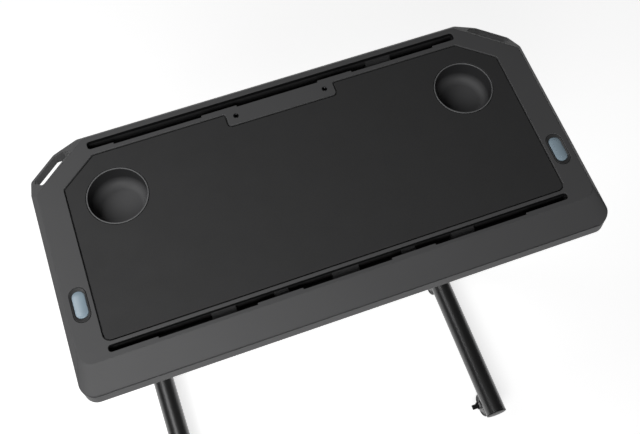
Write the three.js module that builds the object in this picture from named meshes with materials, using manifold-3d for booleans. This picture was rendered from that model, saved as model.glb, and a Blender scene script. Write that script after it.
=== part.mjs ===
// Bike trainer desk: a moulded desk top on two telescopic legs, each with a long foot on casters.
// Units are millimetres and +Z is up. The rider sits on the -Y side, and +X is the rider's right.
// The origin is on the floor, under the middle of the desk's outline.

import * as THREE from 'three';
import { mergeVertices } from 'three/addons/utils/BufferGeometryUtils.js';
import Module from 'manifold-3d';

const wasm = await Module();
wasm.setup();

// Whole desk
const deskHeight = 1100;
const overallDepth = 497;
const fit = 0.3;
const overrun = 3;

// Desk top, both shells together
const shellWidth = 833;
const shellDepth = 413.5;
const shellThickness = 50;
const shellWall = 3;
const deckThickness = 7.5;
const rimChamferWidth = 10.5;
const rimChamferDrop = 13;
const nearCornerRadius = 20;
const nearSlopeRun = 40.5;
const nearSlopeDrop = 24;
const nearLipLean = 2;
const partingGap = 2;
const lapLip = 1.5;
const lapHeight = 6;

// Far-corner facets, each sloping from the deck to an upright wall, and the hand grip cut through each one
const facetTurn = THREE.MathUtils.degToRad(50.2);
const facetInset = 71.3;
const facetReach = 43;
const facetDrop = 37.5;
const gripInset = 6;
const gripBar = 9;
const gripLength = 69;
const gripShift = 2.5;
const gripCornerRadius = 5;

// Desk mat and its recess
const matSideMargin = 53.5;
const matNearMargin = 69.5;
const matFarMargin = 44.7;
const matChamferWidth = 55;
const matChamferDepth = 44.3;
const matThickness = 3;
const matSink = 0.9;
const matGroove = 2;
const matCornerRadius = 10;
const tongueWidth = 186;
const tongueReach = 23.8;
const tongueCornerRadius = 8;

// Threaded inserts in the tongue
const insertSpacing = 150.4;
const insertSetback = 17.5;
const insertRadius = 4.2;
const insertBore = 2.6;
const insertLength = 9;
const insertBossWall = 3;

// Cup holders
const cupSideMargin = 127.5;
const cupFarMargin = 124.6;
const cupRadius = 46;
const cupWall = 2;
const cupDepth = 41;
const cupFillet = 16;
const cupFlange = 4;
const cupRimProud = 0.5;

// Device slots and the trays under them
const slotCornerRadius = 5;
const nearSlotSideMargin = 54.5;
const nearSlotSetback = 62;
const nearSlotNarrow = 11;
const nearSlotWide = 13.7;
const nearSlotStepShares = [0.8, 0.387, 0.193];
const nearRampShares = [[-0.525, 0.026], [-0.279, 0.015], [0, 0.029], [0.279, 0.015], [0.525, 0.026]];
const farSlotSideMargin = 103.5;
const farSlotSetback = 18.5;
const farSlotNarrow = 14;
const farSlotWide = 17;
const farSlotStepShares = [0.869, 0.409, 0.22];
const farRampShares = [[0.575, 0.034]];
const trayWall = 2.5;
const trayDepth = 24;
const trayLedge = 0.5;
const trayRampHigh = 19;
const trayRampLow = 8;

// Release buttons, their bezels and springs
const buttonSideMargin = 32;
const buttonNearMargin = 135;
const buttonWidth = 19;
const buttonLength = 43.5;
const buttonProud = 1.2;
const buttonFlange = 1.4;
const buttonFlangeHeight = 2;
const buttonTravel = 4;
const buttonStemRadius = 4;
const buttonGap = 0.6;
const bezelWidth = 25;
const bezelLength = 55;
const bezelLip = 2.5;
const bezelFloor = 2;
const springRoom = 10.2;
const springRadius = 7;
const springWire = 0.7;
const springTurns = 4;
const ovalRoundShare = 0.96;

// Release rocker, lock rod and brake shoe
const rockerWidth = 12;
const rockerThickness = 5;
const rockerPin = 2;
const rockerEar = 3;
const rockerEarDepth = 12;
const rockerSideGap = 0.5;
const rockerClearance = 1;
const rockerDrop = 7;
const rockerEndLap = 7;
const rockerForkGap = 1.5;
const rodRadius = 4;
const rodHeadRadius = 9;
const rodHeadThickness = 3;
const rodPassage = 1.5;
const rodConeRadius = 11.6;
const rodConeTip = 7.6;
const shoeHeight = 24;
const shoeSplit = 2;
const shoeGap = 0.5;

// Shell screws
const screwRadius = 1.6;
const screwLength = 14;
const screwBossRadius = 5;
const nearScrewMargin = 23.5;
const farScrewMargin = 58;
const nearScrewShares = [0.3, 0.84];
const farScrewShares = [0.08, 0.5];

// Leg tubes
const legSideMargin = 34.5;
const tubeRadius = 25.5;
const tubeWall = 2;
const footAxisHeight = 93;
const bendRadius = 55;
const columnLean = THREE.MathUtils.degToRad(10.5);
const columnMeetMargin = 199.5;
const innerTubeRadius = 21.5;
const travelDown = 264;
const travelUp = 123;
const columnOverlap = 110;
const stopGap = 4;
const collarWall = 4;
const collarSkirt = 24;
const collarTop = 8;
const bushLength = 50;
const bushFlange = 3;
const bushBore = 14;
const footCapBand = 2;
const footCapDome = 3;
const footCapPlug = 10;

// Tube that ties the legs, and its bolts
const tieHeight = 222;
const tieRadius = 19;
const tieWall = 2;
const tiePlug = 30;
const tieBoltRadius = 4;
const tieBoltHeadRadius = 6.5;
const tieBoltHeadHeight = 5;
const tieBoltGrip = 20;

// Brackets under the desk top, their bolts and the cross beam
const bracketPlate = 4;
const bracketDepth = 80;
const bracketOutboard = 26;
const bracketInboard = 76;
const bracketSleeve = 30;
const bracketSleeveWall = 3.7;
const beamDepth = 40;
const beamHeight = 20;
const beamWall = 2;
const beamEndGap = 6;
const boltRadius = 2.8;
const boltEdge = 9;
const boltBossRadius = 7;
const boltBossHeight = 14;

// Casters
const casterNearMargin = 26;
const casterFarMargin = 16;
const casterTrail = 17;
const wheelRadius = 30;
const wheelWidth = 32;
const wheelBevel = 3;
const axleRadius = 3;
const axleHeadRadius = 5;
const axleHeadHeight = 2;
const forkThickness = 2.5;
const forkSideGap = 1.5;
const forkLegRadius = 10;
const forkPlateRadius = 18;
const forkRakeRun = 12;
const stemRadius = 5;
const stemHeight = 34;
const socketRadius = 9;
const socketFlangeRadius = 15;
const socketFlange = 3;
const brakeWidth = 12;
const brakeReach = 21;
const brakeThickness = 5;
const brakePinRadius = 1.6;
const brakePinSetback = 4.5;
const brakeEar = 2.5;
const brakeEarHeight = 9;
const brakeHeight = 46;

// How finely round shapes are cut
const chordLength = 7;
const filletChords = 3;
const turnedSides = 16;
const cupSides = 24;
const wheelSides = 20;
const smallSides = 8;
const springSides = 5;
const springStepsPerTurn = 8;
const bendSteps = 6;
const weldDistance = 0.0001;

// Derived sizes and places. The desk top has a frame of its own: origin mid-deck, on its surface.
const halfWidth = shellWidth / 2;
const halfDepth = shellDepth / 2;
const deskCentreY = overallDepth / 2 - halfDepth;
const facetNormal = new THREE.Vector2(Math.cos(facetTurn), Math.sin(facetTurn));
const facetCrease = facetNormal.dot(new THREE.Vector2(halfWidth, halfDepth)) - facetInset;
const facetFarReach = facetReach + shellThickness;
const belowAll = -shellThickness - overrun;
const matHalf = halfWidth - matSideMargin;
const matFarEdge = halfDepth - matFarMargin;
const matNearEdge = -halfDepth + matNearMargin;
const matRecess = matSink + matThickness + fit;
const tongueHalf = tongueWidth / 2;
const tongueEdge = matFarEdge - tongueReach;
const insertY = tongueEdge + insertSetback;
const cupOuter = cupRadius + cupWall;
const cupTop = cupRimProud - matSink;
const cupX = halfWidth - cupSideMargin;
const cupY = halfDepth - cupFarMargin;
const underDeck = -deckThickness - fit;
const shellFloor = -shellThickness + shellWall;
const nearSlotWidth = shellWidth - 2 * nearSlotSideMargin;
const nearSlotY = -halfDepth + nearSlotSetback;
const farSlotWidth = shellWidth - 2 * farSlotSideMargin;
const farSlotY = halfDepth - farSlotSetback;
const buttonX = halfWidth - buttonSideMargin;
const buttonY = -halfDepth + buttonNearMargin;
const buttonBottom = -bezelLip - fit - buttonFlangeHeight;
const bezelDepth = bezelFloor + springRoom + buttonTravel - buttonBottom;
const legX = halfWidth - legSideMargin;
const meetY = -halfDepth + columnMeetMargin;
const boreRadius = tubeRadius - tubeWall;
const underShell = -shellThickness - fit;
const underPlate = underShell - bracketPlate;
const rockerTop = -bezelDepth - rockerDrop;
const rockerPivotZ = rockerTop - rockerThickness / 2;
const rodHeadRise = rockerTop + rockerClearance + rodHeadRadius * Math.sin(columnLean) + shellThickness;
const rodHeadSeat = rodHeadRise / Math.cos(columnLean);
const rodTopY = meetY - rodHeadRise * Math.tan(columnLean);
const rockerPivotY = (rodTopY + buttonY) / 2;
const rockerArm = (rodTopY - buttonY) / 2;
const columnMeetHeight = deskHeight - shellThickness;
const bendRise = bendRadius * (1 + Math.sin(columnLean));
const columnLength = (columnMeetHeight - footAxisHeight - bendRise) / Math.cos(columnLean);
const columnFootY = deskCentreY + meetY + columnLength * Math.sin(columnLean);
const bendCentreY = columnFootY - bendRadius * Math.cos(columnLean);
const sleeveEnd = -bracketPlate - bracketSleeve;
const collarZ = sleeveEnd - travelDown - stopGap;
const outerTop = collarZ - collarTop - fit;
const innerTop = -bracketPlate - fit - tubeRadius * Math.sin(columnLean) - fit;
const innerEnd = collarZ - travelUp - columnOverlap;
const bushEnd = innerEnd - fit - bushFlange;
const shoeTop = bushEnd - fit;
const shoeEnd = shoeTop - shoeHeight;
const tieZ = (tieHeight - columnMeetHeight) / Math.cos(columnLean);
const tieY = deskCentreY + meetY - tieZ * Math.sin(columnLean);
const footNearEnd = -overallDepth / 2 + footCapDome + footCapBand;
const casterNearY = -overallDepth / 2 + casterNearMargin;
const casterFarY = bendCentreY - casterFarMargin;
const tubeBottom = footAxisHeight - tubeRadius;
const socketTop = footAxisHeight + Math.sqrt(boreRadius ** 2 - socketRadius ** 2) - fit;
const forkTop = tubeBottom - fit - socketFlange - fit;
const forkUnder = forkTop - forkThickness;
const forkInner = wheelWidth / 2 + forkSideGap;
const forkOuter = forkInner + forkThickness;

const shellPlastic = material(0x4c4d50, 0.45, 0);
const lowerPlastic = material(0x55565a, 0.5, 0);
const matFelt = material(0x37383a, 0.7, 0);
const darkPlastic = material(0x1c1c1e, 0.55, 0);
const buttonPlastic = material(0x84929f, 0.4, 0);
const paintedTube = material(0x232325, 0.3, 0.4);
const brightSteel = material(0x9a9da1, 0.35, 0.9);
const wheelRubber = material(0x18181a, 0.8, 0);

function material(color, roughness, metalness) {
  return new THREE.MeshStandardMaterial({ color, roughness, metalness });
}

// Ways to lay a piece: plain moves, and frames that send a drawing's axes along the desk's axes
const unitX = new THREE.Vector3(1, 0, 0);
const unitY = new THREE.Vector3(0, 1, 0);
const unitZ = new THREE.Vector3(0, 0, 1);
const inPlace = new THREE.Matrix4();
const at = (x, y, z) => new THREE.Matrix4().makeTranslation(x, y, z);
const axes = (x, y, z) => new THREE.Matrix4().makeBasis(x, y, z);
const sideView = axes(unitY, unitZ, unitX);
const tiePlace = at(0, tieY, tieHeight).multiply(sideView);
const frontView = axes(unitX, unitZ, unitY.clone().negate());

// Far corner seen end on: first axis out across the facet, second up, origin on its crease
function facetSection(side) {
  const out = new THREE.Vector3(facetNormal.x * side, facetNormal.y, 0);
  return axes(out, unitZ, out.clone().cross(unitZ)).setPosition(out.clone().multiplyScalar(facetCrease));
}

// Far corner seen from above: first axis out across the facet, second along its crease
function facetPlan(side) {
  const out = new THREE.Vector3(facetNormal.x * side, facetNormal.y, 0);
  return axes(out, unitZ.clone().cross(out), unitZ).setPosition(out.clone().multiplyScalar(facetCrease));
}

// Frame of one column in the desk top's frame: origin under the desk, +Z up the column
function columnFrame(side) {
  return at(side * legX, meetY, -shellThickness).multiply(new THREE.Matrix4().makeRotationX(columnLean));
}

// Solid of a closed surface, with shared vertices merged and flat triangles dropped
function solid(geometry) {
  const bare = geometry.clone();
  bare.deleteAttribute('normal');
  bare.deleteAttribute('uv');
  const merged = mergeVertices(bare, weldDistance);
  const kept = [];
  for (let k = 0; k < merged.index.count; k += 3) {
    const [a, b, c] = merged.index.array.slice(k, k + 3);
    if (a !== b && b !== c && c !== a) kept.push(a, b, c);
  }
  const vertProperties = merged.attributes.position.array;
  return new wasm.Manifold(new wasm.Mesh({ numProp: 3, vertProperties, triVerts: Uint32Array.from(kept) }));
}

// Surface of a solid, as three.js geometry
function surface(body) {
  const skin = body.getMesh();
  const geometry = new THREE.BufferGeometry();
  geometry.setAttribute('position', new THREE.BufferAttribute(skin.vertProperties, skin.numProp));
  geometry.setIndex(new THREE.BufferAttribute(skin.triVerts, 1));
  geometry.computeVertexNormals();
  return geometry;
}

function named(name, body, finish) {
  const mesh = new THREE.Mesh(surface(body), finish);
  mesh.name = name;
  return mesh;
}

const join = (...bodies) => bodies.reduce((whole, body) => whole.add(body));
const cut = (body, ...tools) => tools.reduce((rest, tool) => rest.subtract(tool), body);
const common = (...bodies) => bodies.reduce((whole, body) => whole.intersect(body));

// Whole outline from its right half, whose corners run from the near edge to the far edge
function mirrored(half) {
  return [...half, ...half.map(([x, y, radius]) => [-x, y, radius]).reverse()];
}

// A corner of an outline, with the directions in which its two edges arrive and leave
function cornerAt(corners, i) {
  const [before, corner, after] = [i + corners.length - 1, i, i + 1]
    .map((k) => new THREE.Vector2(...corners[k % corners.length].slice(0, 2)));
  return [corner, corner.clone().sub(before).normalize(), after.sub(corner).normalize()];
}

// Outline with every edge moved inwards by one distance, its rounds kept concentric
function shrunk(corners, distance) {
  return corners.map(([, , radius = 0], i) => {
    const [corner, arriving, leaving] = cornerAt(corners, i);
    const inwards = new THREE.Vector2(-arriving.y - leaving.y, arriving.x + leaving.x);
    corner.addScaledVector(inwards, distance / (1 + arriving.dot(leaving)));
    const bulge = Math.sign(arriving.cross(leaving));
    return [corner.x, corner.y, radius > 0 ? Math.max(radius - bulge * distance, fit) : 0];
  });
}

// Points of an outline of corners [x, y, radius], each radius drawn as an arc of short chords
function drawn(corners) {
  return corners.flatMap(([, , radius = 0], i) => {
    const [corner, arriving, leaving] = cornerAt(corners, i);
    if (radius === 0) return [corner];
    const turn = Math.atan2(arriving.cross(leaving), arriving.dot(leaving));
    const start = corner.clone().addScaledVector(arriving, -radius * Math.tan(Math.abs(turn) / 2));
    const inwards = new THREE.Vector2(-arriving.y, arriving.x).multiplyScalar(radius * Math.sign(turn));
    const centre = start.clone().add(inwards);
    const chords = Math.ceil(1 + radius * Math.abs(turn) / chordLength);
    const angles = Array.from({ length: chords + 1 }, (_, k) => turn * k / chords);
    return angles.map((angle) => start.clone().rotateAround(centre, angle));
  });
}

function circle(radius, sides = turnedSides) {
  const angles = Array.from({ length: sides }, (_, k) => 2 * Math.PI * k / sides);
  return angles.map((angle) => new THREE.Vector2(radius * Math.cos(angle), radius * Math.sin(angle)));
}

// Oval with nearly round ends and its long axis along Y
function oval(width, length, grown = 0) {
  const x = width / 2 + grown;
  const y = length / 2 + grown;
  const radius = x * ovalRoundShare;
  return drawn([[x, -y, radius], [x, y, radius], [-x, y, radius], [-x, -y, radius]]);
}

// Straight prism of a drawn outline between two heights
function prism(points, low, high, place = inPlace) {
  const drawing = new THREE.Shape(points);
  const geometry = new THREE.ExtrudeGeometry(drawing, { depth: high - low, bevelEnabled: false });
  return solid(geometry.translate(0, 0, low).applyMatrix4(place));
}

function block(x0, x1, y0, y1, z0, z1, place = inPlace) {
  return prism(drawn([[x0, y0], [x1, y0], [x1, y1], [x0, y1]]), z0, z1, place);
}

function rod(radius, low, high, place = inPlace, sides = turnedSides) {
  return prism(circle(radius, sides), low, high, place);
}

// Upright rods that stand on a list of places
function rods(places, radius, low, high, sides = smallSides) {
  return places.map(([x, y]) => rod(radius, low, high, at(x, y, 0), sides));
}

// Straight tube between two heights
function tube(radius, bore, low, high, place = inPlace) {
  return turned([[bore, low], [radius, low], [radius, high], [bore, high]], place);
}

// Turned piece from a profile of [radius, height] that closes on itself or on the axis
function turned(profile, place = inPlace, sides = turnedSides) {
  const points = profile.map(([radius, height]) => new THREE.Vector2(radius, height));
  if (THREE.ShapeUtils.area(points) < 0) points.reverse();
  if (points.some((point) => point.x === 0) === false) points.push(points[0].clone());
  return solid(new THREE.LatheGeometry(points, sides).rotateX(Math.PI / 2).applyMatrix4(place));
}

// Quarter round of a profile: the points about a centre from one angle to another, in right angles
function quarter(radius, height, reach, rise, from, to) {
  return Array.from({ length: filletChords + 1 }, (_, k) => {
    const angle = (from + (to - from) * k / filletChords) * Math.PI / 2;
    return [radius + reach * Math.cos(angle), height + rise * Math.sin(angle)];
  });
}

// Tube carried along a curve, solid where its bore is 0
function swept(curve, radius, bore, steps, sides) {
  const section = new THREE.Shape(circle(radius, sides));
  if (bore > 0) section.holes.push(new THREE.Path(circle(bore, sides)));
  return solid(new THREE.ExtrudeGeometry(section, { steps, extrudePath: curve, bevelEnabled: false }));
}

const sides = [[-1, 'l'], [1, 'r']];
const eachSide = (make) => sides.map(([side]) => make(side));
const span = (a, b) => [Math.min(a, b), Math.max(a, b)];

// The form that the two shells share, shrunk by an inset for its inside
function moulding(inset) {
  const cornerLine = facetCrease + facetReach;
  const facetSideY = (cornerLine - facetNormal.x * halfWidth) / facetNormal.y;
  const facetFarX = (cornerLine - facetNormal.y * halfDepth) / facetNormal.x;
  const slopeFoot = -halfDepth + nearLipLean;
  const plan = mirrored([
    [halfWidth, -halfDepth, nearCornerRadius],
    [halfWidth, facetSideY],
    [facetFarX, halfDepth],
  ]);
  const sideProfile = [
    [-halfDepth, -shellThickness],
    [halfDepth, -shellThickness],
    [halfDepth, -rimChamferDrop],
    [halfDepth - rimChamferWidth, 0],
    [slopeFoot + nearSlopeRun, 0],
    [slopeFoot, -nearSlopeDrop],
  ];
  const frontProfile = mirrored([
    [halfWidth, -shellThickness],
    [halfWidth, -rimChamferDrop],
    [halfWidth - rimChamferWidth, 0],
  ]);
  const runPerDrop = facetReach / facetDrop;
  const crease = -inset * Math.hypot(1, runPerDrop);
  const facets = eachSide((side) => prism(drawn([
    [crease - overrun * runPerDrop, overrun],
    [crease - belowAll * runPerDrop, belowAll],
    [facetFarReach, belowAll],
    [facetFarReach, overrun],
  ]), -halfWidth, halfWidth, facetSection(side)));
  const draw = (corners) => drawn(shrunk(corners, inset));
  const whole = common(
    prism(draw(plan), belowAll, overrun),
    prism(draw(sideProfile), -halfWidth, halfWidth, sideView),
    prism(draw(frontProfile), -halfDepth, halfDepth, frontView),
  );
  return cut(whole, ...facets);
}

// Far corner beyond a given distance from its crease, over the whole height
function cornerBlock(side, from) {
  return block(from, facetFarReach, belowAll, overrun, -halfWidth, halfWidth, facetSection(side));
}

// Everything in the desk top between two heights
function layer(low, high) {
  const beyond = halfWidth + overrun;
  return block(-beyond, beyond, -beyond, beyond, low, high);
}

// Hand grip: a slot down through the facet, kept inside the outer bar
function gripHole(side) {
  const sideEnd = (halfWidth - rimChamferWidth - facetNormal.x * facetCrease) / facetNormal.y;
  const farEnd = (facetNormal.y * facetCrease - halfDepth + rimChamferWidth) / facetNormal.x;
  const middle = -side * ((sideEnd + farEnd) / 2 + gripShift);
  const start = middle - gripLength / 2;
  const end = middle + gripLength / 2;
  const outer = facetReach - gripBar;
  const slot = [
    [gripInset, start, gripCornerRadius],
    [outer, start, gripCornerRadius],
    [outer, end, gripCornerRadius],
    [gripInset, end, gripCornerRadius],
  ];
  return common(
    prism(drawn(slot), belowAll, overrun, facetPlan(side)),
    block(gripBar - halfWidth, halfWidth - gripBar, 0, halfDepth - gripBar, belowAll, overrun),
  );
}

// Slot through the deck: straight along its far edge, stepped along its near edge
function slotOutline(width, farY, narrow, wide, stepShares) {
  const end = width / 2;
  const [outer, middle, inner] = stepShares.map((share) => share * end);
  return mirrored([
    [inner, farY - wide],
    [inner, farY - narrow],
    [middle, farY - narrow],
    [middle, farY - wide],
    [outer, farY - wide],
    [outer, farY - narrow],
    [end, farY - narrow, slotCornerRadius],
    [end, farY, slotCornerRadius],
  ]);
}

const matOutline = mirrored([
  [matHalf, matNearEdge, matCornerRadius],
  [matHalf, matFarEdge - matChamferDepth],
  [matHalf - matChamferWidth, matFarEdge],
  [tongueHalf, matFarEdge],
  [tongueHalf, tongueEdge, tongueCornerRadius],
]);
const nearSlot = slotOutline(nearSlotWidth, nearSlotY, nearSlotNarrow, nearSlotWide, nearSlotStepShares);
const farSlot = slotOutline(farSlotWidth, farSlotY, farSlotNarrow, farSlotWide, farSlotStepShares);

const screwPlaces = eachSide((side) => [
  ...nearScrewShares.map((share) => [side * share * halfWidth, -halfDepth + nearScrewMargin]),
  ...farScrewShares.map((share) => [side * share * halfWidth, halfDepth - farScrewMargin]),
]).flat();
const plateBoltPlaces = eachSide((side) => [-1, 1].flatMap((end) => [
  [side * (legX + bracketOutboard - boltEdge), meetY + end * (bracketDepth / 2 - boltEdge)],
  [side * (legX - bracketInboard + boltEdge), meetY + end * (bracketDepth / 2 - boltEdge)],
])).flat();
const beamBoltPlaces = eachSide((side) => [side * (legX - bracketInboard + beamDepth / 2), meetY]);
const boltPlaces = [...plateBoltPlaces, ...beamBoltPlaces];
const insertPlaces = eachSide((side) => [side * insertSpacing / 2, insertY]);
const cupPlaces = eachSide((side) => [side * cupX, cupY]);

// Two open-sided shells: deck, rim, near slope and far corners above, tray with a lip below
const outerForm = moulding(0);
const cavity = cut(
  common(moulding(shellWall), layer(shellFloor, -deckThickness)),
  ...eachSide((side) => cornerBlock(side, gripInset - shellWall)),
);
const walls = cut(outerForm, cavity);

function makeTopShell() {
  const corners = eachSide((side) => cornerBlock(side, gripInset - shellWall));
  const lowerHalf = cut(layer(belowAll, -nearSlopeDrop), ...corners);
  const bossSkin = common(moulding(shellWall / 2), layer(shellFloor + fit, -shellWall));
  const screwBosses = rods(screwPlaces, screwBossRadius, belowAll, 0).map((boss) => common(boss, bossSkin));
  const insertSeat = -insertLength - fit;
  const insertBossFoot = insertSeat - insertBossWall;
  const bezels = eachSide((side) => (
    prism(oval(bezelWidth, bezelLength, fit), belowAll, overrun, at(side * buttonX, buttonY, 0))));
  return cut(
    join(
      cut(walls, lowerHalf),
      ...screwBosses,
      ...rods(insertPlaces, insertRadius + insertBossWall, insertBossFoot, -deckThickness / 2),
    ),
    prism(drawn(shrunk(matOutline, -matGroove)), -matRecess, overrun),
    prism(drawn(nearSlot), belowAll / 2, overrun),
    prism(drawn(farSlot), belowAll / 2, overrun),
    ...rods(screwPlaces, screwRadius + fit, belowAll, shellFloor + screwLength),
    ...rods(insertPlaces, insertRadius + fit, insertSeat, overrun, turnedSides),
    ...rods(cupPlaces, cupOuter + fit, belowAll, overrun, cupSides),
    ...bezels,
    ...eachSide(gripHole),
  );
}

function makeBottomShell() {
  const lipTop = -nearSlopeDrop - partingGap;
  const corners = eachSide((side) => cornerBlock(side, gripInset - shellWall - fit));
  const lapInside = moulding(shellWall + fit + lapLip);
  const lapHeights = layer(lipTop - lapHeight, lipTop + lapHeight);
  const lap = common(cut(moulding(shellWall + fit), lapInside), lapHeights);
  const lapRoot = common(cut(outerForm, lapInside), layer(lipTop - lapHeight, lipTop));
  const bossRooms = rods(screwPlaces, screwBossRadius + fit, shellFloor, 0);
  const bossTop = shellFloor + boltBossHeight;
  const earNear = rockerPivotY - rockerEarDepth / 2;
  const earGap = rockerWidth / 2 + rockerSideGap;
  const earTop = rockerPivotZ + rockerThickness;
  const ears = eachSide((side) => eachSide((hand) => {
    const [x0, x1] = span(side * legX + hand * earGap, side * legX + hand * (earGap + rockerEar));
    return block(x0, x1, earNear, earNear + rockerEarDepth, shellFloor - fit, earTop);
  })).flat();
  const pinReach = earGap + rockerEar + overrun;
  const pinHoles = eachSide((side) => {
    const pinPlace = at(side * legX, rockerPivotY, rockerPivotZ).multiply(sideView);
    return rod(rockerPin + fit, -pinReach, pinReach, pinPlace, smallSides);
  });
  const rodHoles = eachSide((side) => (
    rod(rodRadius + rodPassage, -bracketPlate, 2 * shellWall, columnFrame(side), smallSides)));
  return cut(
    join(
      cut(common(walls, layer(belowAll, lipTop)), ...corners),
      cut(join(lap, lapRoot), ...corners, ...bossRooms),
      ...rods(boltPlaces, boltBossRadius, shellFloor - fit, bossTop),
      ...ears,
    ),
    ...rods(boltPlaces, boltRadius + fit, belowAll, bossTop + overrun),
    ...rods(screwPlaces, screwRadius + fit, belowAll, shellFloor + overrun),
    ...pinHoles,
    ...rodHoles,
  );
}

function makeMat() {
  const cups = rods(cupPlaces, cupOuter + fit, belowAll, overrun, cupSides);
  return cut(prism(drawn(matOutline), -matSink - matThickness, -matSink), ...cups);
}

// Cup: floor with a wide fillet, straight wall, thin rim, and a flange that seats under the deck
function makeCup(side) {
  const floor = cupTop - cupDepth;
  const base = floor - cupWall;
  return turned([
    [0, base],
    ...quarter(cupOuter - cupFillet, base + cupFillet, cupFillet, cupFillet, -1, 0),
    [cupOuter, underDeck - cupWall],
    [cupOuter + cupFlange, underDeck - cupWall],
    [cupOuter + cupFlange, underDeck],
    [cupOuter, underDeck],
    [cupOuter, cupTop],
    [cupRadius, cupTop],
    ...quarter(cupRadius - cupFillet, floor + cupFillet, cupFillet, cupFillet, 0, -1),
    [0, floor],
  ], at(side * cupX, cupY, 0), cupSides);
}

// Tray under a slot: a trough with sloped rests across it
function makeTray(width, farY, wide, rampShares) {
  const end = width / 2 + trayLedge;
  const nearY = farY - wide - trayLedge;
  const back = farY + trayLedge;
  const bottom = underDeck - trayDepth;
  const floor = bottom + trayWall;
  const trough = cut(
    block(-end - trayWall, end + trayWall, nearY - trayWall, back + trayWall, bottom, underDeck),
    block(-end, end, nearY, back, floor, underDeck + overrun),
  );
  const section = [
    [nearY - trayWall / 2, floor - trayWall / 2],
    [back + trayWall / 2, floor - trayWall / 2],
    [back + trayWall / 2, floor + trayRampHigh],
    [nearY - trayWall / 2, floor + trayRampLow],
  ];
  const ramps = rampShares.map(([share, half]) => (
    prism(drawn(section), (share / 2 - half) * width, (share / 2 + half) * width, sideView)));
  return join(trough, ...ramps);
}

// Cross beam: a box tube that lies under the two bracket plates
function makeBeam() {
  const end = legX - tubeRadius - beamEndGap;
  const half = beamDepth / 2;
  const top = underPlate - fit;
  return cut(
    block(-end, end, meetY - half, meetY + half, top - beamHeight, top),
    block(-end - overrun, end + overrun, meetY - half + beamWall, meetY + half - beamWall,
      top - beamHeight + beamWall, top - beamWall),
    ...rods(beamBoltPlaces, boltRadius + fit, 2 * belowAll, 0),
  );
}

// Bracket: a plate under the desk top with a leaning sleeve for the inner column
function makeBracket(side) {
  const [x0, x1] = span(side * (legX - bracketInboard), side * (legX + bracketOutboard));
  const plate = block(x0, x1, meetY - bracketDepth / 2, meetY + bracketDepth / 2, underPlate, underShell);
  const belowTop = layer(2 * belowAll, underShell - bracketPlate / 2);
  const bore = innerTubeRadius + fit;
  const sleeve = common(rod(bore + bracketSleeveWall, sleeveEnd, 0, columnFrame(side)), belowTop);
  return cut(
    join(plate, sleeve),
    common(rod(bore, sleeveEnd - overrun, 0, columnFrame(side)), layer(2 * belowAll, underPlate)),
    rod(rodRadius + rodPassage, sleeveEnd, bracketPlate, columnFrame(side), smallSides),
    ...rods(boltPlaces, boltRadius + fit, 2 * belowAll, 0),
  );
}

// Bezel: an oval cup with a lip that holds the button's flange
function makeBezel() {
  const chamber = buttonFlange + buttonGap;
  return cut(
    prism(oval(bezelWidth, bezelLength), -bezelDepth, 0),
    prism(oval(buttonWidth, buttonLength, buttonGap), -bezelLip - fit, overrun),
    prism(oval(buttonWidth, buttonLength, chamber), bezelFloor - bezelDepth, -bezelLip),
    rod(buttonStemRadius + buttonGap, -bezelDepth - overrun, 0, inPlace, smallSides),
  );
}

function makeButton() {
  const flangeTop = buttonBottom + buttonFlangeHeight;
  return join(
    prism(oval(buttonWidth, buttonLength), buttonBottom, buttonProud),
    prism(oval(buttonWidth, buttonLength, buttonFlange), buttonBottom, flangeTop),
    rod(buttonStemRadius, rockerTop + rockerClearance, flangeTop, inPlace, smallSides),
  );
}

// Return spring: one wire wound round the stem, from the bezel's floor to the button
class SpringLine extends THREE.Curve {
  getPoint(share, target = new THREE.Vector3()) {
    const low = bezelFloor - bezelDepth + fit + springWire;
    const high = buttonBottom - fit - springWire;
    const angle = 2 * Math.PI * springTurns * share;
    const height = THREE.MathUtils.lerp(low, high, share);
    return target.set(springRadius * Math.cos(angle), springRadius * Math.sin(angle), height);
  }
}

function makeSpring() {
  return swept(new SpringLine(), springWire, 0, springTurns * springStepsPerTurn, springSides);
}

// Rocker: its near end lies under the button's stem, its forked far end under the lock rod's head
function makeRocker() {
  const half = rockerThickness / 2;
  const slot = rodRadius + rockerForkGap;
  const slotRoot = rockerArm - slot - rockerForkGap;
  const end = rockerArm + rockerEndLap;
  const pinEnd = rockerWidth / 2 + rockerSideGap + rockerEar;
  return join(
    cut(
      block(-rockerWidth / 2, rockerWidth / 2, -end, end, -half, half),
      block(-slot, slot, slotRoot, end + overrun, -rockerThickness, rockerThickness),
    ),
    rod(rockerPin, -pinEnd, pinEnd, sideView, smallSides),
  );
}

// Lock rod: a wedge at its foot, a plain rod, and the head that the rocker lifts
function makeLockRod() {
  return turned([
    [0, shoeEnd],
    [rodConeTip, shoeEnd],
    [rodConeRadius, shoeTop],
    [rodRadius, shoeTop + rodConeRadius],
    [rodRadius, rodHeadSeat],
    [rodHeadRadius, rodHeadSeat],
    [rodHeadRadius, rodHeadSeat + rodHeadThickness],
    [0, rodHeadSeat + rodHeadThickness],
  ], inPlace, turnedSides);
}

// Brake shoe: a split ring with a tapered bore, pressed out against the outer column by the wedge
function makeShoe() {
  const ring = turned([
    [rodConeTip + shoeGap, shoeEnd],
    [boreRadius - fit, shoeEnd],
    [boreRadius - fit, shoeTop],
    [rodConeRadius + shoeGap, shoeTop],
  ]);
  const split = shoeSplit / 2;
  return cut(ring, block(0, tubeRadius, -split, split, shoeEnd - overrun, shoeTop + overrun));
}

function makeBush() {
  const slide = innerTubeRadius + fit;
  const outside = boreRadius - fit;
  return turned([
    [bushBore, bushEnd],
    [outside, bushEnd],
    [outside, bushEnd + bushLength],
    [slide, bushEnd + bushLength],
    [slide, innerEnd - fit],
    [bushBore, innerEnd - fit],
  ]);
}

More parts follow.
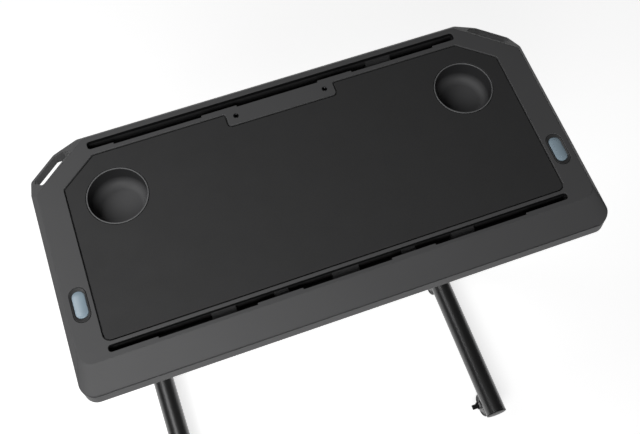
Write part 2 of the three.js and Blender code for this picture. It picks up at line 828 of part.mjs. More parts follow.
function makeCollar() {
  const seat = collarZ - collarTop;
  const outside = tubeRadius + fit + collarWall;
  return turned([
    [tubeRadius + fit, seat - collarSkirt],
    [outside, seat - collarSkirt],
    [outside, collarZ],
    [innerTubeRadius + fit, collarZ],
    [innerTubeRadius + fit, seat],
    [tubeRadius + fit, seat],
  ]);
}

function makeOuterColumn() {
  const boltPlace = at(0, 0, tieZ).multiply(sideView);
  const boltHole = rod(tieBoltRadius + fit, -2 * tubeRadius, 2 * tubeRadius, boltPlace, smallSides);
  return cut(tube(tubeRadius, boreRadius, fit - columnLength, outerTop), boltHole);
}

// Bend between foot and column, in the plane of the leg
class BendLine extends THREE.Curve {
  getPoint(share, target = new THREE.Vector3()) {
    const angle = THREE.MathUtils.lerp(-Math.PI / 2, columnLean, share);
    return target.set(0, bendRadius * Math.cos(angle), bendRadius * Math.sin(angle));
  }
}

function makeFootTube() {
  const length = bendCentreY - fit - footNearEnd;
  const wall = tube(tubeRadius, boreRadius, 0, length, frontView);
  const socketPlaces = [casterNearY, casterFarY].map((y) => [0, y - bendCentreY + fit]);
  return cut(wall, ...rods(socketPlaces, socketRadius + fit, -2 * tubeRadius, 0, turnedSides));
}

// Caster socket: a bush through the tube's underside, with a flange below it
function makeSocket() {
  return turned([
    [stemRadius + fit, tubeBottom - fit - socketFlange],
    [socketFlangeRadius, tubeBottom - fit - socketFlange],
    [socketFlangeRadius, tubeBottom - fit],
    [socketRadius, tubeBottom - fit],
    [socketRadius, socketTop],
    [stemRadius + fit, socketTop],
  ]);
}

// Fork: stem, top plate and two raked legs, with ears for the brake lever on braked casters
function makeFork(brakeSide) {
  const leg = [
    [-forkRakeRun, forkUnder + forkThickness / 2],
    [casterTrail - forkLegRadius, wheelRadius - forkLegRadius, forkLegRadius],
    [casterTrail + forkLegRadius, wheelRadius - forkLegRadius, forkLegRadius],
    [casterTrail + forkLegRadius, brakeHeight + brakeEarHeight / 2],
    [forkRakeRun, forkUnder + forkThickness / 2],
  ];
  const holeReach = forkOuter + overrun;
  const axlePlace = at(0, casterTrail, wheelRadius).multiply(sideView);
  const axleHole = rod(axleRadius + fit, -holeReach, holeReach, axlePlace, smallSides);
  const whole = join(
    rod(stemRadius, forkUnder, tubeBottom + stemHeight, inPlace, smallSides),
    rod(forkPlateRadius, forkUnder, forkTop),
    block(-forkOuter, forkOuter, -forkRakeRun, forkRakeRun, forkUnder, forkTop),
    prism(drawn(leg), -forkOuter, -forkInner, sideView),
    prism(drawn(leg), forkInner, forkOuter, sideView),
  );
  if (brakeSide === 0) return cut(whole, axleHole);
  const pinX = brakeSide * (forkOuter + brakePinSetback);
  const earReach = brakePinSetback + brakePinRadius + brakeEar;
  const [x0, x1] = span(brakeSide * forkInner, brakeSide * (forkOuter + earReach));
  const earFoot = brakeHeight - brakeEarHeight / 2;
  const ears = [-1, 1].map((end) => {
    const near = casterTrail + end * (brakeWidth / 2 + fit);
    const [y0, y1] = span(near, near + end * brakeEar);
    return block(x0, x1, y0, y1, earFoot, earFoot + brakeEarHeight);
  });
  const pinReach = brakeWidth / 2 + 2 * brakeEar;
  const pinPlace = at(pinX, casterTrail, brakeHeight).multiply(frontView);
  const pinHole = rod(brakePinRadius + fit, -pinReach, pinReach, pinPlace, smallSides);
  return cut(join(whole, ...ears), axleHole, pinHole);
}

// Brake lever: a round-nosed paddle on a cross pin, drawn about the pin
function makeBrakeLever(brakeSide) {
  const half = brakeThickness / 2;
  const tip = brakeReach - brakePinSetback;
  const nose = half * ovalRoundShare;
  const paddle = [
    [-half, -half, nose],
    [tip, -half, nose],
    [tip, half, nose],
    [-half, half, nose],
  ].map(([x, z, radius]) => [brakeSide * x, z, radius]);
  const outline = brakeSide > 0 ? paddle : paddle.reverse();
  const pinEnd = brakeWidth / 2 + fit + brakeEar;
  return join(
    prism(drawn(outline), -brakeWidth / 2, brakeWidth / 2, frontView),
    rod(brakePinRadius, -pinEnd, pinEnd, frontView, smallSides),
  );
}

function makeWheel() {
  const half = wheelWidth / 2;
  return turned([
    [axleRadius + fit, -half],
    [wheelRadius - wheelBevel, -half],
    [wheelRadius, wheelBevel - half],
    [wheelRadius, half - wheelBevel],
    [wheelRadius - wheelBevel, half],
    [axleRadius + fit, half],
  ], sideView, wheelSides);
}

function makeAxle() {
  const seat = forkOuter + fit;
  return turned([
    [0, -seat - axleHeadHeight],
    [axleHeadRadius, -seat - axleHeadHeight],
    [axleHeadRadius, -seat],
    [axleRadius, -seat],
    [axleRadius, seat],
    [axleHeadRadius, seat],
    [axleHeadRadius, seat + axleHeadHeight],
    [0, seat + axleHeadHeight],
  ], sideView, smallSides);
}

// End cap of a foot: plug, band and dome, drawn with +Z out of the tube
function makeEndCap() {
  return turned([
    [0, -footCapPlug],
    [boreRadius - fit, -footCapPlug],
    [boreRadius - fit, fit],
    [tubeRadius, fit],
    ...quarter(0, footCapBand, tubeRadius, footCapDome, 0, 1),
  ], frontView);
}

// Tie tube: hollow, with solid ends that are saddled round the columns and drilled for the bolts
function makeTie() {
  const inside = legX - tubeRadius - tiePlug;
  const deskPlace = at(0, deskCentreY, deskHeight);
  const saddles = eachSide((side) => (
    rod(tubeRadius + fit, -columnLength, 0, deskPlace.clone().multiply(columnFrame(side)))));
  return cut(
    rod(tieRadius, -legX, legX, tiePlace),
    rod(tieRadius - tieWall, -inside, inside, tiePlace),
    rod(tieBoltRadius + fit, -legX, legX, tiePlace, smallSides),
    ...saddles,
  );
}

// Bolt through a column into the end of the tie tube, its head on the outer side
function makeTieBolt(side) {
  const seat = legX + tubeRadius + fit;
  const [shank0, shank1] = span(side * (legX - tubeRadius - tieBoltGrip), side * seat);
  const [head0, head1] = span(side * seat, side * (seat + tieBoltHeadHeight));
  return join(
    rod(tieBoltRadius, shank0, shank1, tiePlace, smallSides),
    rod(tieBoltHeadRadius, head0, head1, tiePlace, smallSides),
  );
}

const desk = new THREE.Group();
const deskTop = new THREE.Group();
deskTop.position.set(0, deskCentreY, deskHeight);
desk.add(deskTop);

deskTop.add(named('top_shell', makeTopShell(), shellPlastic));
deskTop.add(named('bottom_shell', makeBottomShell(), lowerPlastic));
deskTop.add(named('desk_mat', makeMat(), matFelt));
const nearTray = makeTray(nearSlotWidth, nearSlotY, nearSlotWide, nearRampShares);
const farTray = makeTray(farSlotWidth, farSlotY, farSlotWide, farRampShares);
deskTop.add(named('near_slot_tray', nearTray, darkPlastic));
deskTop.add(named('far_slot_tray', farTray, darkPlastic));
deskTop.add(named('crossbeam', makeBeam(), paintedTube));
desk.add(named('tie_tube', makeTie(), paintedTube));

for (const [side, letter] of sides) {
  deskTop.add(named(`cup_holder_${letter}`, makeCup(side), shellPlastic));
  deskTop.add(named(`column_bracket_${letter}`, makeBracket(side), paintedTube));
  const insertBody = tube(insertRadius, insertBore, -insertLength, -fit);
  const insert = named(`threaded_insert_${letter}`, insertBody, brightSteel);
  insert.position.set(side * insertSpacing / 2, insertY, 0);
  deskTop.add(insert);
  desk.add(named(`tie_bolt_${letter}`, makeTieBolt(side), brightSteel));

  const release = new THREE.Group();
  release.position.set(side * buttonX, buttonY, 0);
  release.add(named(`button_bezel_${letter}`, makeBezel(), darkPlastic));
  release.add(named(`release_button_${letter}`, makeButton(), buttonPlastic));
  release.add(named(`button_spring_${letter}`, makeSpring(), brightSteel));
  deskTop.add(release);

  const rocker = named(`release_rocker_${letter}`, makeRocker(), darkPlastic);
  rocker.position.set(side * legX, rockerPivotY, rockerPivotZ);
  deskTop.add(rocker);

  const column = new THREE.Group();
  column.applyMatrix4(columnFrame(side));
  const innerTube = tube(innerTubeRadius, innerTubeRadius - tubeWall, innerEnd, innerTop);
  column.add(named(`inner_column_${letter}`, innerTube, brightSteel));
  column.add(named(`column_bush_${letter}`, makeBush(), darkPlastic));
  column.add(named(`brake_shoe_${letter}`, makeShoe(), darkPlastic));
  column.add(named(`lock_rod_${letter}`, makeLockRod(), brightSteel));
  column.add(named(`column_collar_${letter}`, makeCollar(), darkPlastic));
  column.add(named(`outer_column_${letter}`, makeOuterColumn(), paintedTube));
  deskTop.add(column);

  const leg = new THREE.Group();
  leg.position.set(side * legX, bendCentreY, footAxisHeight);
  const bentTube = swept(new BendLine(), tubeRadius, boreRadius, bendSteps, turnedSides);
  const bend = named(`leg_elbow_${letter}`, bentTube, paintedTube);
  bend.position.z = bendRadius;
  const foot = named(`foot_tube_${letter}`, makeFootTube(), paintedTube);
  foot.position.y = -fit;
  const cap = named(`foot_end_cap_${letter}`, makeEndCap(), darkPlastic);
  cap.position.y = footNearEnd - bendCentreY;
  leg.add(bend, foot, cap);
  desk.add(leg);

  for (const [end, y, brakeSide] of [['front', casterNearY, -side], ['rear', casterFarY, 0]]) {
    const caster = new THREE.Group();
    caster.position.set(side * legX, y, 0);
    caster.add(named(`caster_socket_${end}_${letter}`, makeSocket(), darkPlastic));
    caster.add(named(`caster_fork_${end}_${letter}`, makeFork(brakeSide), brightSteel));
    const wheel = named(`caster_wheel_${end}_${letter}`, makeWheel(), wheelRubber);
    const axle = named(`caster_axle_${end}_${letter}`, makeAxle(), brightSteel);
    wheel.position.set(0, casterTrail, wheelRadius);
    axle.position.copy(wheel.position);
    caster.add(wheel, axle);
    if (brakeSide !== 0) {
      const lever = named(`brake_lever_${letter}`, makeBrakeLever(brakeSide), darkPlastic);
      lever.position.set(brakeSide * (forkOuter + brakePinSetback), casterTrail, brakeHeight);
      caster.add(lever);
    }
    desk.add(caster);
  }
}

export default desk;
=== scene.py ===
# Bike trainer desk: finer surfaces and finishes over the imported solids, with its camera, floor and lamps.
# Lengths are in millimetres until a mesh is made. The rider sits on the -Y side, and +X is to their right.
# The desk top has a frame of its own: its origin is mid-deck, on the deck's surface.

import bmesh
import bpy
import numpy as np
from mathutils import Matrix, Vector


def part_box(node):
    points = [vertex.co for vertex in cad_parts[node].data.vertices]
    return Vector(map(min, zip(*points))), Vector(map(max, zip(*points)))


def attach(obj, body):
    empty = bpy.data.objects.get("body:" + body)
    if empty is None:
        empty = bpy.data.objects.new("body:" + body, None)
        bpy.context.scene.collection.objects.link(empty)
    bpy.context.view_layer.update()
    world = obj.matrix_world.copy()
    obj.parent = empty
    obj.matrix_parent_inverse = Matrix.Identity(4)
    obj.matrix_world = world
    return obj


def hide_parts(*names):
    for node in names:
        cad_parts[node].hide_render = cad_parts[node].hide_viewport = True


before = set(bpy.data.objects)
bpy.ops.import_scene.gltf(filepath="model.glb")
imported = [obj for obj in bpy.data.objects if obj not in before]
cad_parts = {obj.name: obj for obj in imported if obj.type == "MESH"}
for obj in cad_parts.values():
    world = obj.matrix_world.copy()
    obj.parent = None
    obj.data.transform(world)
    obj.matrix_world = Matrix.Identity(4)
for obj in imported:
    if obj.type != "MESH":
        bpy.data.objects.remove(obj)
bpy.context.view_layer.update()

metre = 1000
sides = {"l": -1, "r": 1}

# Desk top moulding
shell_wall = 3
deck_thickness = 7.5
rim_chamfer_width = 10.5
rim_chamfer_drop = 13
near_corner_radius = 20
near_deck_radius = 22
near_slope_run = 40.5
near_slope_drop = 24
near_lip_lean = 2
parting_gap = 2
lap_lip = 1.5
lap_height = 6
fit = 0.3
overrun = 3
bottom_round = 3
crease_round = 4
deck_edge_round = 2.5
plan_edge_round = 8
ease_row_heights = (-6, -4, -2.5, -1.5, -0.7, 0, 0.7, 1.5, 2.5, 4, 7, 12)
rim_round = 0.7

# Far-corner facets and the hand grips through them
facet_turn = np.radians(50.2)
facet_inset = 71.3
facet_reach = 43
facet_drop = 37.5
facet_foot_blend = 1.6
grip_inset = 6
grip_bar = 9
grip_length = 69
grip_shift = 2.5
grip_corner_radius = 5
grip_rim_round = 1.6

# Mat, its groove, and the tongue of the deck that reaches into its far edge
mat_side_margin = 53.5
mat_near_margin = 69.5
mat_far_margin = 44.7
mat_chamfer_width = 55
mat_chamfer_depth = 44.3
mat_thickness = 3
mat_sink = 0.9
mat_groove = 2
groove_depth = 6.3
groove_undercut = 1.2
mat_corner_radius = 10
mat_bend_radius = 4
mat_edge_round = 0.6
recess_rim_round = 1
tongue_width = 186
tongue_reach = 23.8
tongue_corner_radius = 8
tongue_root_radius = 2

# Cup holders
cup_radius = 46
cup_wall = 2
cup_depth = 41
cup_fillet = 16
cup_flange = 4
cup_rim_round = 0.8
# Height of the painted highlight on the top of each cup's rim
cup_rim_highlight_height = 1.1
cup_gap = 0.9

# Device slots
slot_corner_radius = 5
slot_step_radius = 0.8
near_slot_side_margin = 54.5
near_slot_setback = 62
near_slot_narrow = 11
near_slot_wide = 13.7
near_slot_step_shares = (0.8, 0.387, 0.193)
far_slot_side_margin = 103.5
far_slot_setback = 18.5
far_slot_narrow = 14
far_slot_wide = 17
far_slot_step_shares = (0.869, 0.409, 0.22)
slot_cut_depth = 26
# Near-black sheet that lines each slot's walls as painted shade: how far under the rim it starts, and its
# thickness
slot_shade_liner_drop = 0.9
slot_shade_liner_wall = 0.5
tray_depth = 24
tray_wall = 2.5

# Release buttons and bezels
button_width = 18.5
button_length = 42.5
button_flange = 1.4
button_flange_height = 2
button_gap = 0.6
button_edge_height = -0.6
bezel_width = 25
bezel_length = 55
bezel_lip = 2.5
bezel_floor = 2
bezel_dish = 1.1
button_crown_power = 2.4
button_crown_shares = (0, 0.02, 0.06, 0.13, 0.24, 0.4, 0.6, 0.8, 0.95)
button_stem_radius = 4

# Threaded inserts
insert_radius = 4.2
insert_bore = 2.6
insert_chamfer = 0.5

# Screws under the top, and the bolts of its brackets
screw_head_radius = 3.4
screw_head_height = 2
screw_length = 12
screw_radius = 1.6
near_screw_margin = 23.5
far_screw_margin = 58
near_screw_shares = (0.3, 0.84)
far_screw_shares = (0.08, 0.5)
bolt_radius = 2.8
bolt_head_radius = 5
bolt_head_height = 3.4
bolt_edge = 9
screw_across_share = 0.9
screw_side_share = 1 / 3
screw_top_share = 0.35
screw_land_share = 0.6

# Legs
tube_radius = 25.5
tube_wall = 2
bend_radius = 55
column_lean = np.radians(10.5)
column_meet_margin = 199.5
inner_tube_radius = 21.5
travel_down = 264
travel_up = 123
column_overlap = 110
stop_gap = 4
collar_wall = 4
collar_skirt = 24
collar_top = 8
collar_round = 2
cap_band = 2
cap_dome = 3
cap_plug = 10

# Tie tube and its bolts
tie_radius = 19
tie_bolt_head_radius = 6.5
tie_bolt_head_height = 5
tie_bolt_radius = 4
tie_bolt_grip = 20

# Brackets and cross beam
bracket_plate = 4
bracket_depth = 80
bracket_outboard = 26
bracket_inboard = 76
bracket_corner_radius = 8
bracket_sleeve = 30
bracket_sleeve_wall = 3.7
weld_round = 2.5
rod_hole_radius = 5.5
beam_depth = 40
beam_height = 20
beam_wall = 2
beam_corner_radius = 3

# Casters
wheel_radius = 30
wheel_width = 32
tread_round = 6
hub_radius = 15
hub_dish = 2.2
wheel_edge_round = 0.6
wheel_web_round = 1
axle_radius = 3
axle_head_radius = 5
axle_head_height = 2
caster_trail = 17
fork_thickness = 2.5
fork_side_gap = 1.5
fork_leg_radius = 10
fork_plate_radius = 18
fork_rake_run = 12
fork_edge_round = 0.7
fork_shoulder_round = 1
fork_back_round = 3
stem_tip_round = 1
stem_radius = 5
socket_radius = 9
socket_flange_radius = 15
socket_flange = 3
brake_width = 12
brake_reach = 21
brake_thickness = 5
brake_pin_radius = 1.6
brake_pin_setback = 4.5
brake_ear = 2.5
brake_ear_height = 9
brake_ear_round = 0.5
brake_edge_round = 1
brake_height = 46

# How finely surfaces are drawn
arc_steps = 6
corner_steps = 10
bend_steps = 24
dome_steps = 12
head_steps = 6
round_columns = 96
tube_columns = 64
screw_columns = 48
small_columns = 40
circle_corners = 8
end_round_share = 0.99
nose_round_share = 0.98
circle_round_share = 0.9999
quarter_bend = np.radians([0, 22.5, 45, 67.5, 90])
bezel_bend = np.radians([30, 60, 90])
screw_bend = np.radians([22.5, 45, 60])
sharp_angle = np.radians(32)
weld_distance = 1e-6


def box(node):
    """Lowest and highest corner of a solid at rest."""
    low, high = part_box(node)
    return np.array(low) * metre, np.array(high) * metre


def middle(node):
    """Middle of a solid's box at rest."""
    return sum(box(node)) / 2


def shift(x, y, z):
    """Frame moved by a distance along each axis."""
    place = np.eye(4)
    place[:3, 3] = x, y, z
    return place


def axes(*columns):
    """Frame whose axes lie along three given directions."""
    place = np.eye(4)
    place[:3, :3] = np.array(columns, float).T
    return place


def tilt(angle):
    """Frame turned about X, so that its Z axis leans towards -Y."""
    return axes((1, 0, 0), (0, np.cos(angle), np.sin(angle)), (0, -np.sin(angle), np.cos(angle)))


# Frames: side_view sends a drawing's axes to Y, Z and X, and front_view to X, Z and -Y
side_view = axes((0, 1, 0), (0, 0, 1), (1, 0, 0))
front_view = axes((1, 0, 0), (0, 0, 1), (0, -1, 0))

shell_low = box("bottom_shell")[0]
shell_high = box("top_shell")[1]
half_width = shell_high[0]
half_depth = (shell_high[1] - shell_low[1]) / 2
shell_thickness = shell_high[2] - shell_low[2]
desk_place = shift(0, (shell_low[1] + shell_high[1]) / 2, shell_high[2])
shell_floor = shell_wall - shell_thickness
under_shell = -shell_thickness - fit
under_plate = under_shell - bracket_plate
facet_normal = np.array([np.cos(facet_turn), np.sin(facet_turn)])
facet_crease = facet_normal @ (half_width, half_depth) - facet_inset
meet_y = -half_depth + column_meet_margin
leg_x = middle("foot_tube_r")[0]
sleeve_end = -bracket_plate - bracket_sleeve
collar_z = sleeve_end - travel_down - stop_gap
outer_top = collar_z - collar_top - fit
inner_top = -bracket_plate - fit - tube_radius * np.sin(column_lean) - fit
inner_end = collar_z - travel_up - column_overlap


def column_place(side):
    """Frame of a column: origin under the desk, Z up the column."""
    return desk_place @ shift(side * leg_x, meet_y, -shell_thickness) @ tilt(column_lean)


def unit(vectors):
    """Vectors brought to length 1."""
    return vectors / np.linalg.norm(vectors, axis=-1, keepdims=True)


def edge_directions(outline):
    """Unit directions in which the edges of an outline arrive at its corners and leave them."""
    corners = outline[..., :2]
    arriving = unit(corners - np.roll(corners, 1, -2))
    return arriving, np.roll(arriving, -1, -2)


def left_of(vectors):
    """Vectors turned a right angle to the left."""
    return np.stack([-vectors[..., 1], vectors[..., 0]], -1)


def turns(outline):
    """Signed angle by which an outline turns at each corner."""
    arriving, leaving = edge_directions(outline)
    return np.arctan2((left_of(arriving) * leaving).sum(-1), (arriving * leaving).sum(-1))


def grown(outline, distance):
    """Outline [x, y, radius] with each edge moved outwards: a corner moves along the sum of its edges'
    outward normals times distance / (1 + their cosine), and a convex corner's radius grows as much."""
    outline = np.array(outline, float)
    arriving, leaving = edge_directions(outline)
    share = distance / (1 + (arriving * leaving).sum(-1))
    moved = outline[..., :2] - (left_of(arriving) + left_of(leaving)) * share[..., None]
    radius = np.maximum(outline[..., 2] + np.sign(turns(outline)) * distance, fit / 2)
    return np.concatenate([moved, radius[..., None]], -1)


def rounded(outline, steps=arc_steps):
    """Points of an outline [x, y, radius]: each arc starts radius * tan(turn / 2) before its corner, and at
    angle a it lies radius * sin(a) ahead of that start and radius * (1 - cos(a)) to the inside."""
    outline = np.asarray(outline, float)
    arriving, _ = edge_directions(outline)
    turn = turns(outline)
    radius = outline[..., 2]
    start = outline[..., :2] - arriving * (radius * np.tan(abs(turn) / 2))[..., None]
    angle = abs(turn)[..., None] * np.linspace(0, 1, steps + 1)
    ahead = radius[..., None] * np.sin(angle)
    inside = (radius * np.sign(turn))[..., None] * (1 - np.cos(angle))
    points = (start[..., None, :] + ahead[..., None] * arriving[..., None, :]
              + inside[..., None] * left_of(arriving)[..., None, :])
    return points.reshape(*outline.shape[:-2], -1, 2)


def mirrored(half):
    """Whole outline from its right half, whose corners run from the near edge to the far edge."""
    half = np.array(half, float)
    return np.concatenate([half, (half * (-1, 1, 1))[::-1]])


def oval(width, length, growth=0):
    """Outline with nearly round ends and its long axis along Y."""
    x = width / 2 + growth
    y = length / 2 + growth
    radius = x * end_round_share
    return [(x, -y, radius), (x, y, radius), (-x, y, radius), (-x, -y, radius)]


def rectangle(low, high, radius):
    """Outline of a rectangle between two corners, with one radius, or one for its left and its right."""
    left, right = np.broadcast_to(radius, 2)
    (x0, y0), (x1, y1) = low, high
    return [(x0, y0, left), (x1, y0, right), (x1, y1, right), (x0, y1, left)]


def ring(points, height):
    """Row of a surface: an outline's points at one height, or at a height for each point."""
    return np.column_stack([points, np.broadcast_to(height, len(points))])


def grid(rows, closed=False):
    """Surface through rows of points, each row joined end to end: four-sided faces between neighbouring
    rows, and a flat end on the first and the last row, or faces that join the last row to the first."""
    rows = np.asarray(rows, float)
    count, columns = rows.shape[:2]
    index = np.arange(count * columns).reshape(count, columns)
    lower = index if closed else index[:-1]
    upper = np.roll(index, -1, 0) if closed else index[1:]
    corners = [lower, np.roll(lower, -1, 1), np.roll(upper, -1, 1), upper]
    faces = np.stack(corners, -1).reshape(-1, 4).tolist()
    if not closed:
        faces += [index[0, ::-1].tolist(), index[-1].tolist()]
    return rows.reshape(-1, 3), faces


def hoop(radius, height, columns):
    """Ring of points round the Z axis. Its radius and its height can change on the way round."""
    angle = np.linspace(0, 2 * np.pi, columns, endpoint=False)
    return np.stack([radius * np.cos(angle), radius * np.sin(angle), height + 0 * angle], -1)


def hooped(rows, columns):
    """Surface through hoops of (radius, height)."""
    return grid([hoop(radius, height, columns) for radius, height in rows])


def stack(rows, steps=arc_steps, closed=False):
    """Surface through rows of (outline, height)."""
    return grid([ring(rounded(outline, steps), height) for outline, height in rows], closed)


def turned(profile, columns=round_columns):
    """Surface of revolution: each [radius, height] of a closed profile carried round the Z axis."""
    profile = np.asarray(profile, float)
    return grid(hoop(profile[:, :1], profile[:, 1:], columns), closed=True)


def moved(surface, place):
    """Surface laid in a frame."""
    points, faces = surface
    return points @ place[:3, :3].T + place[:3, 3], faces


def piece(name, *surfaces):
    """Object at the origin from surfaces in millimetres, with its doubles merged, its loose edges dropped
    and its faces turned outwards."""
    points = np.concatenate([surface[0] for surface in surfaces]) / metre
    starts = np.cumsum([0] + [len(surface[0]) for surface in surfaces])
    faces = [[start + k for k in face] for start, surface in zip(starts, surfaces) for face in surface[1]]
    mesh = bpy.data.meshes.new(name)
    mesh.from_pydata(points.tolist(), [], faces)
    tidy = bmesh.new()
    tidy.from_mesh(mesh)
    bmesh.ops.remove_doubles(tidy, verts=tidy.verts, dist=weld_distance)
    bmesh.ops.delete(tidy, geom=[edge for edge in tidy.edges if not edge.link_faces], context="EDGES")
    bmesh.ops.recalc_face_normals(tidy, faces=tidy.faces)
    tidy.to_mesh(mesh)
    tidy.free()
    made = bpy.data.objects.new(name, mesh)
    bpy.context.scene.collection.objects.link(made)
    return made


def settle(target):
    """Applies an object's modifiers to its mesh."""
    bpy.context.view_layer.update()
    evaluated = target.evaluated_get(bpy.context.evaluated_depsgraph_get())
    mesh = bpy.data.meshes.new_from_object(evaluated)
    target.modifiers.clear()
    target.data = mesh


def carved(target, *tools, operation="DIFFERENCE"):
    """Object with other closed objects cut out of it, or joined to it, one after the other."""
    for tool in tools:
        change = target.modifiers.new("carve", "BOOLEAN")
        change.object = tool
        change.operation = operation
        change.solver = "MANIFOLD"
    settle(target)
    for tool in tools:
        bpy.data.objects.remove(tool)
    return target


def finished(target, finish, slot, body, *nodes):
    """Gives a piece its finish, shading and body, and hides the solids that it stands for. Its slot is not
    used.
    """
    mesh = target.data
    mesh.materials.clear()
    mesh.materials.append(finish)
    mesh.shade_smooth()
    mesh.set_sharp_from_angle(angle=float(sharp_angle))
    target.modifiers.new("shading", "WEIGHTED_NORMAL").keep_sharp = True
    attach(target, body)
    if nodes:
        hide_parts(*nodes)


def make_turned(name, profile, place, looks, columns=round_columns):
    """Piece turned from a profile and laid in a frame. Its looks are its finish, slot, body and solids."""
    finished(piece(name, moved(turned(profile, columns), place)), *looks)


class Number:
    """Number that changes over a surface: the operators add Math nodes."""

    def __init__(self, finish, socket):
        self.finish = finish
        self.socket = socket

    def math(self, operation, *values):
        node = self.finish.node("ShaderNodeMath", {"operation": operation}, dict(enumerate(values)))
        return Number(self.finish, node.outputs[0])

    def __add__(self, other):
        return self.math("ADD", self, other)

    def __rsub__(self, other):
        return self.math("SUBTRACT", other, self)

    def __mul__(self, other):
        return self.math("MULTIPLY", self, other)

    __radd__ = __add__
    __rmul__ = __mul__


class Finish:
    """Material built from nodes, whose textures are laid by the object's own coordinates."""

    def __init__(self, name, **sockets):
        self.material = bpy.data.materials.new(name)
        self.material.use_nodes = True
        self.tree = self.material.node_tree
        self.tree.nodes.clear()
        self.shader = self.node("ShaderNodeBsdfPrincipled", {}, sockets)
        self.node("ShaderNodeOutputMaterial", {}, {"Surface": self.shader.outputs[0]})
        self.place = self.node("ShaderNodeTexCoord").outputs["Object"]

    def node(self, kind, settings={}, sockets={}):
        """Adds a node: its settings are set first, then each socket gets a value or a link."""
        node = self.tree.nodes.new(kind)
        for name, value in settings.items():
            setattr(node, name, value)
        for name, value in sockets.items():
            self.feed(node.inputs[name], value)
        return node

    def feed(self, socket, value):
        """Gives one socket a value or a link."""
        if isinstance(value, Number):
            value = value.socket
        if isinstance(value, bpy.types.NodeSocket):
            self.tree.links.new(value, socket)
        elif socket.type == "RGBA":
            socket.default_value = (*value, 1)
        else:
            socket.default_value = value

    def noise(self, size, detail=2, stretch=(1, 1, 1)):
        """Soft noise from 0 to 1, with blotches of a size in millimetres, stretched along each axis."""
        scale = [metre / size / part for part in stretch]
        place = self.node("ShaderNodeMapping", {}, {"Vector": self.place, "Scale": scale}).outputs[0]
        node = self.node("ShaderNodeTexNoise", {}, {"Vector": place, "Scale": 1, "Detail": detail})
        return Number(self, node.outputs["Fac"])

    def pebbles(self, size):
        """Distance to the nearest of scattered points, which gives pebbles of a size in millimetres."""
        node = self.node("ShaderNodeTexVoronoi", {"feature": "SMOOTH_F1"},
                         {"Vector": self.place, "Scale": metre / size, "Smoothness": 0.4})
        return Number(self, node.outputs["Distance"])

    def rise(self, low, high):
        """0 at one height of the object and 1 at another, in millimetres, and straight between them."""
        height = self.node("ShaderNodeSeparateXYZ", {}, {"Vector": self.place}).outputs["Z"]
        node = self.node("ShaderNodeMapRange", {},
                         {"Value": height, "From Min": low / metre, "From Max": high / metre})
        return Number(self, node.outputs[0])

    def blend(self, share, first, second, kind="MIX"):
        """Colour between two others, or one multiplied by a share of the other."""
        settings = {"data_type": "RGBA", "blend_type": kind}
        return self.node("ShaderNodeMix", settings, {"Factor": share, 6: first, 7: second}).outputs[2]

    def relief(self, *layers):
        """Surface relief from layers of (height from 0 to 1, depth in millimetres)."""
        normal = None
        for height, depth in layers:
            node = self.node("ShaderNodeBump", {},
                             {"Height": height, "Distance": depth / metre, "Strength": 1.0})
            if normal is not None:
                self.feed(node.inputs["Normal"], normal)
            normal = node.outputs[0]
        self.feed(self.shader.inputs["Normal"], normal)

    def seen_directly(self):
        """1 for what the camera sees straight, in a reflection or through glass, and 0 for other light."""
        path = self.node("ShaderNodeLightPath").outputs
        glass = Number(self, path["Is Transmission Ray"])
        mirror = Number(self, path["Is Glossy Ray"])
        return glass.math("MAXIMUM", glass, mirror.math("MAXIMUM", mirror, path["Is Camera Ray"]))

    def set(self, **sockets):
        """Feeds sockets of the shader, named with underscores for spaces."""
        for name, value in sockets.items():
            self.feed(self.shader.inputs[name.replace("_", " ")], value)


def shade(colour, factor):
    """Colour made lighter or darker."""
    return tuple(part * factor for part in colour)


def moulded(name, colour, roughness, grain=0.55, depth=0.02, gloss=0.5):
    """Moulded plastic: a fine spark grain, faint clouding in the colour, handling marks in the gloss."""
    finish = Finish(name, **{"Specular IOR Level": gloss})
    cloud = finish.noise(size=70, detail=3)
    marks = finish.noise(size=22, detail=4)
    fine = finish.noise(size=grain, detail=3)
    colouring = finish.blend(cloud * 0.4 + fine * 0.6, shade(colour, 0.9), shade(colour, 1.1))
    finish.set(Base_Color=colouring, Roughness=roughness - 0.03 + 0.06 * marks)
    finish.relief((fine, depth))
    return finish.material


def banded_moulding(name, colour, bands, roughness, gloss):
    """Moulded plastic whose colour changes with the height, which paints light and shade by height: it
    starts from the lowest colour, and each band of (colour, height where it begins, height where it is
    full) takes over in turn."""
    finish = Finish(name, **{"Specular IOR Level": gloss})
    fine = finish.noise(size=0.55, detail=3)
    marks = finish.noise(size=22, detail=4)
    colouring = colour
    for above, low, high in bands:
        colouring = finish.blend(finish.rise(low, high), colouring, above)
    speckle = finish.blend(fine, (0, 0, 0), (1, 1, 1))
    finish.set(Base_Color=finish.blend(0.15, colouring, speckle, "MULTIPLY"),
               Roughness=roughness - 0.03 + 0.06 * marks)
    finish.relief((fine, 0.02))
    return finish.material


def rubber_mat(name, colour):
    """Rubber mat: small pebbles pressed into it, and a slightly uneven matt surface."""
    finish = Finish(name, **{"Specular IOR Level": 0.25})
    pebble = finish.pebbles(size=1.1)
    fine = finish.noise(size=0.4)
    marks = finish.noise(size=45, detail=4)
    finish.set(Base_Color=finish.blend(marks * 0.5 + pebble * 0.5, shade(colour, 1.18), shade(colour, 0.8)),
               Roughness=0.56 + 0.12 * marks)
    finish.relief((1 - pebble, 0.05), (fine, 0.012))
    return finish.material


def black_paint(name, colour, roughness, coat):
    """Satin paint on steel: a soft top coat, orange peel in the gloss, and a trace of dust."""
    finish = Finish(name)
    peel = finish.noise(size=2.6, detail=1)
    dust = finish.noise(size=35, detail=5)
    finish.set(Base_Color=finish.blend(dust, shade(colour, 0.85), shade(colour, 1.2)),
               Roughness=roughness + 0.08 * dust, Coat_Weight=coat, Coat_Roughness=0.32)
    finish.relief((peel, 0.012))
    return finish.material


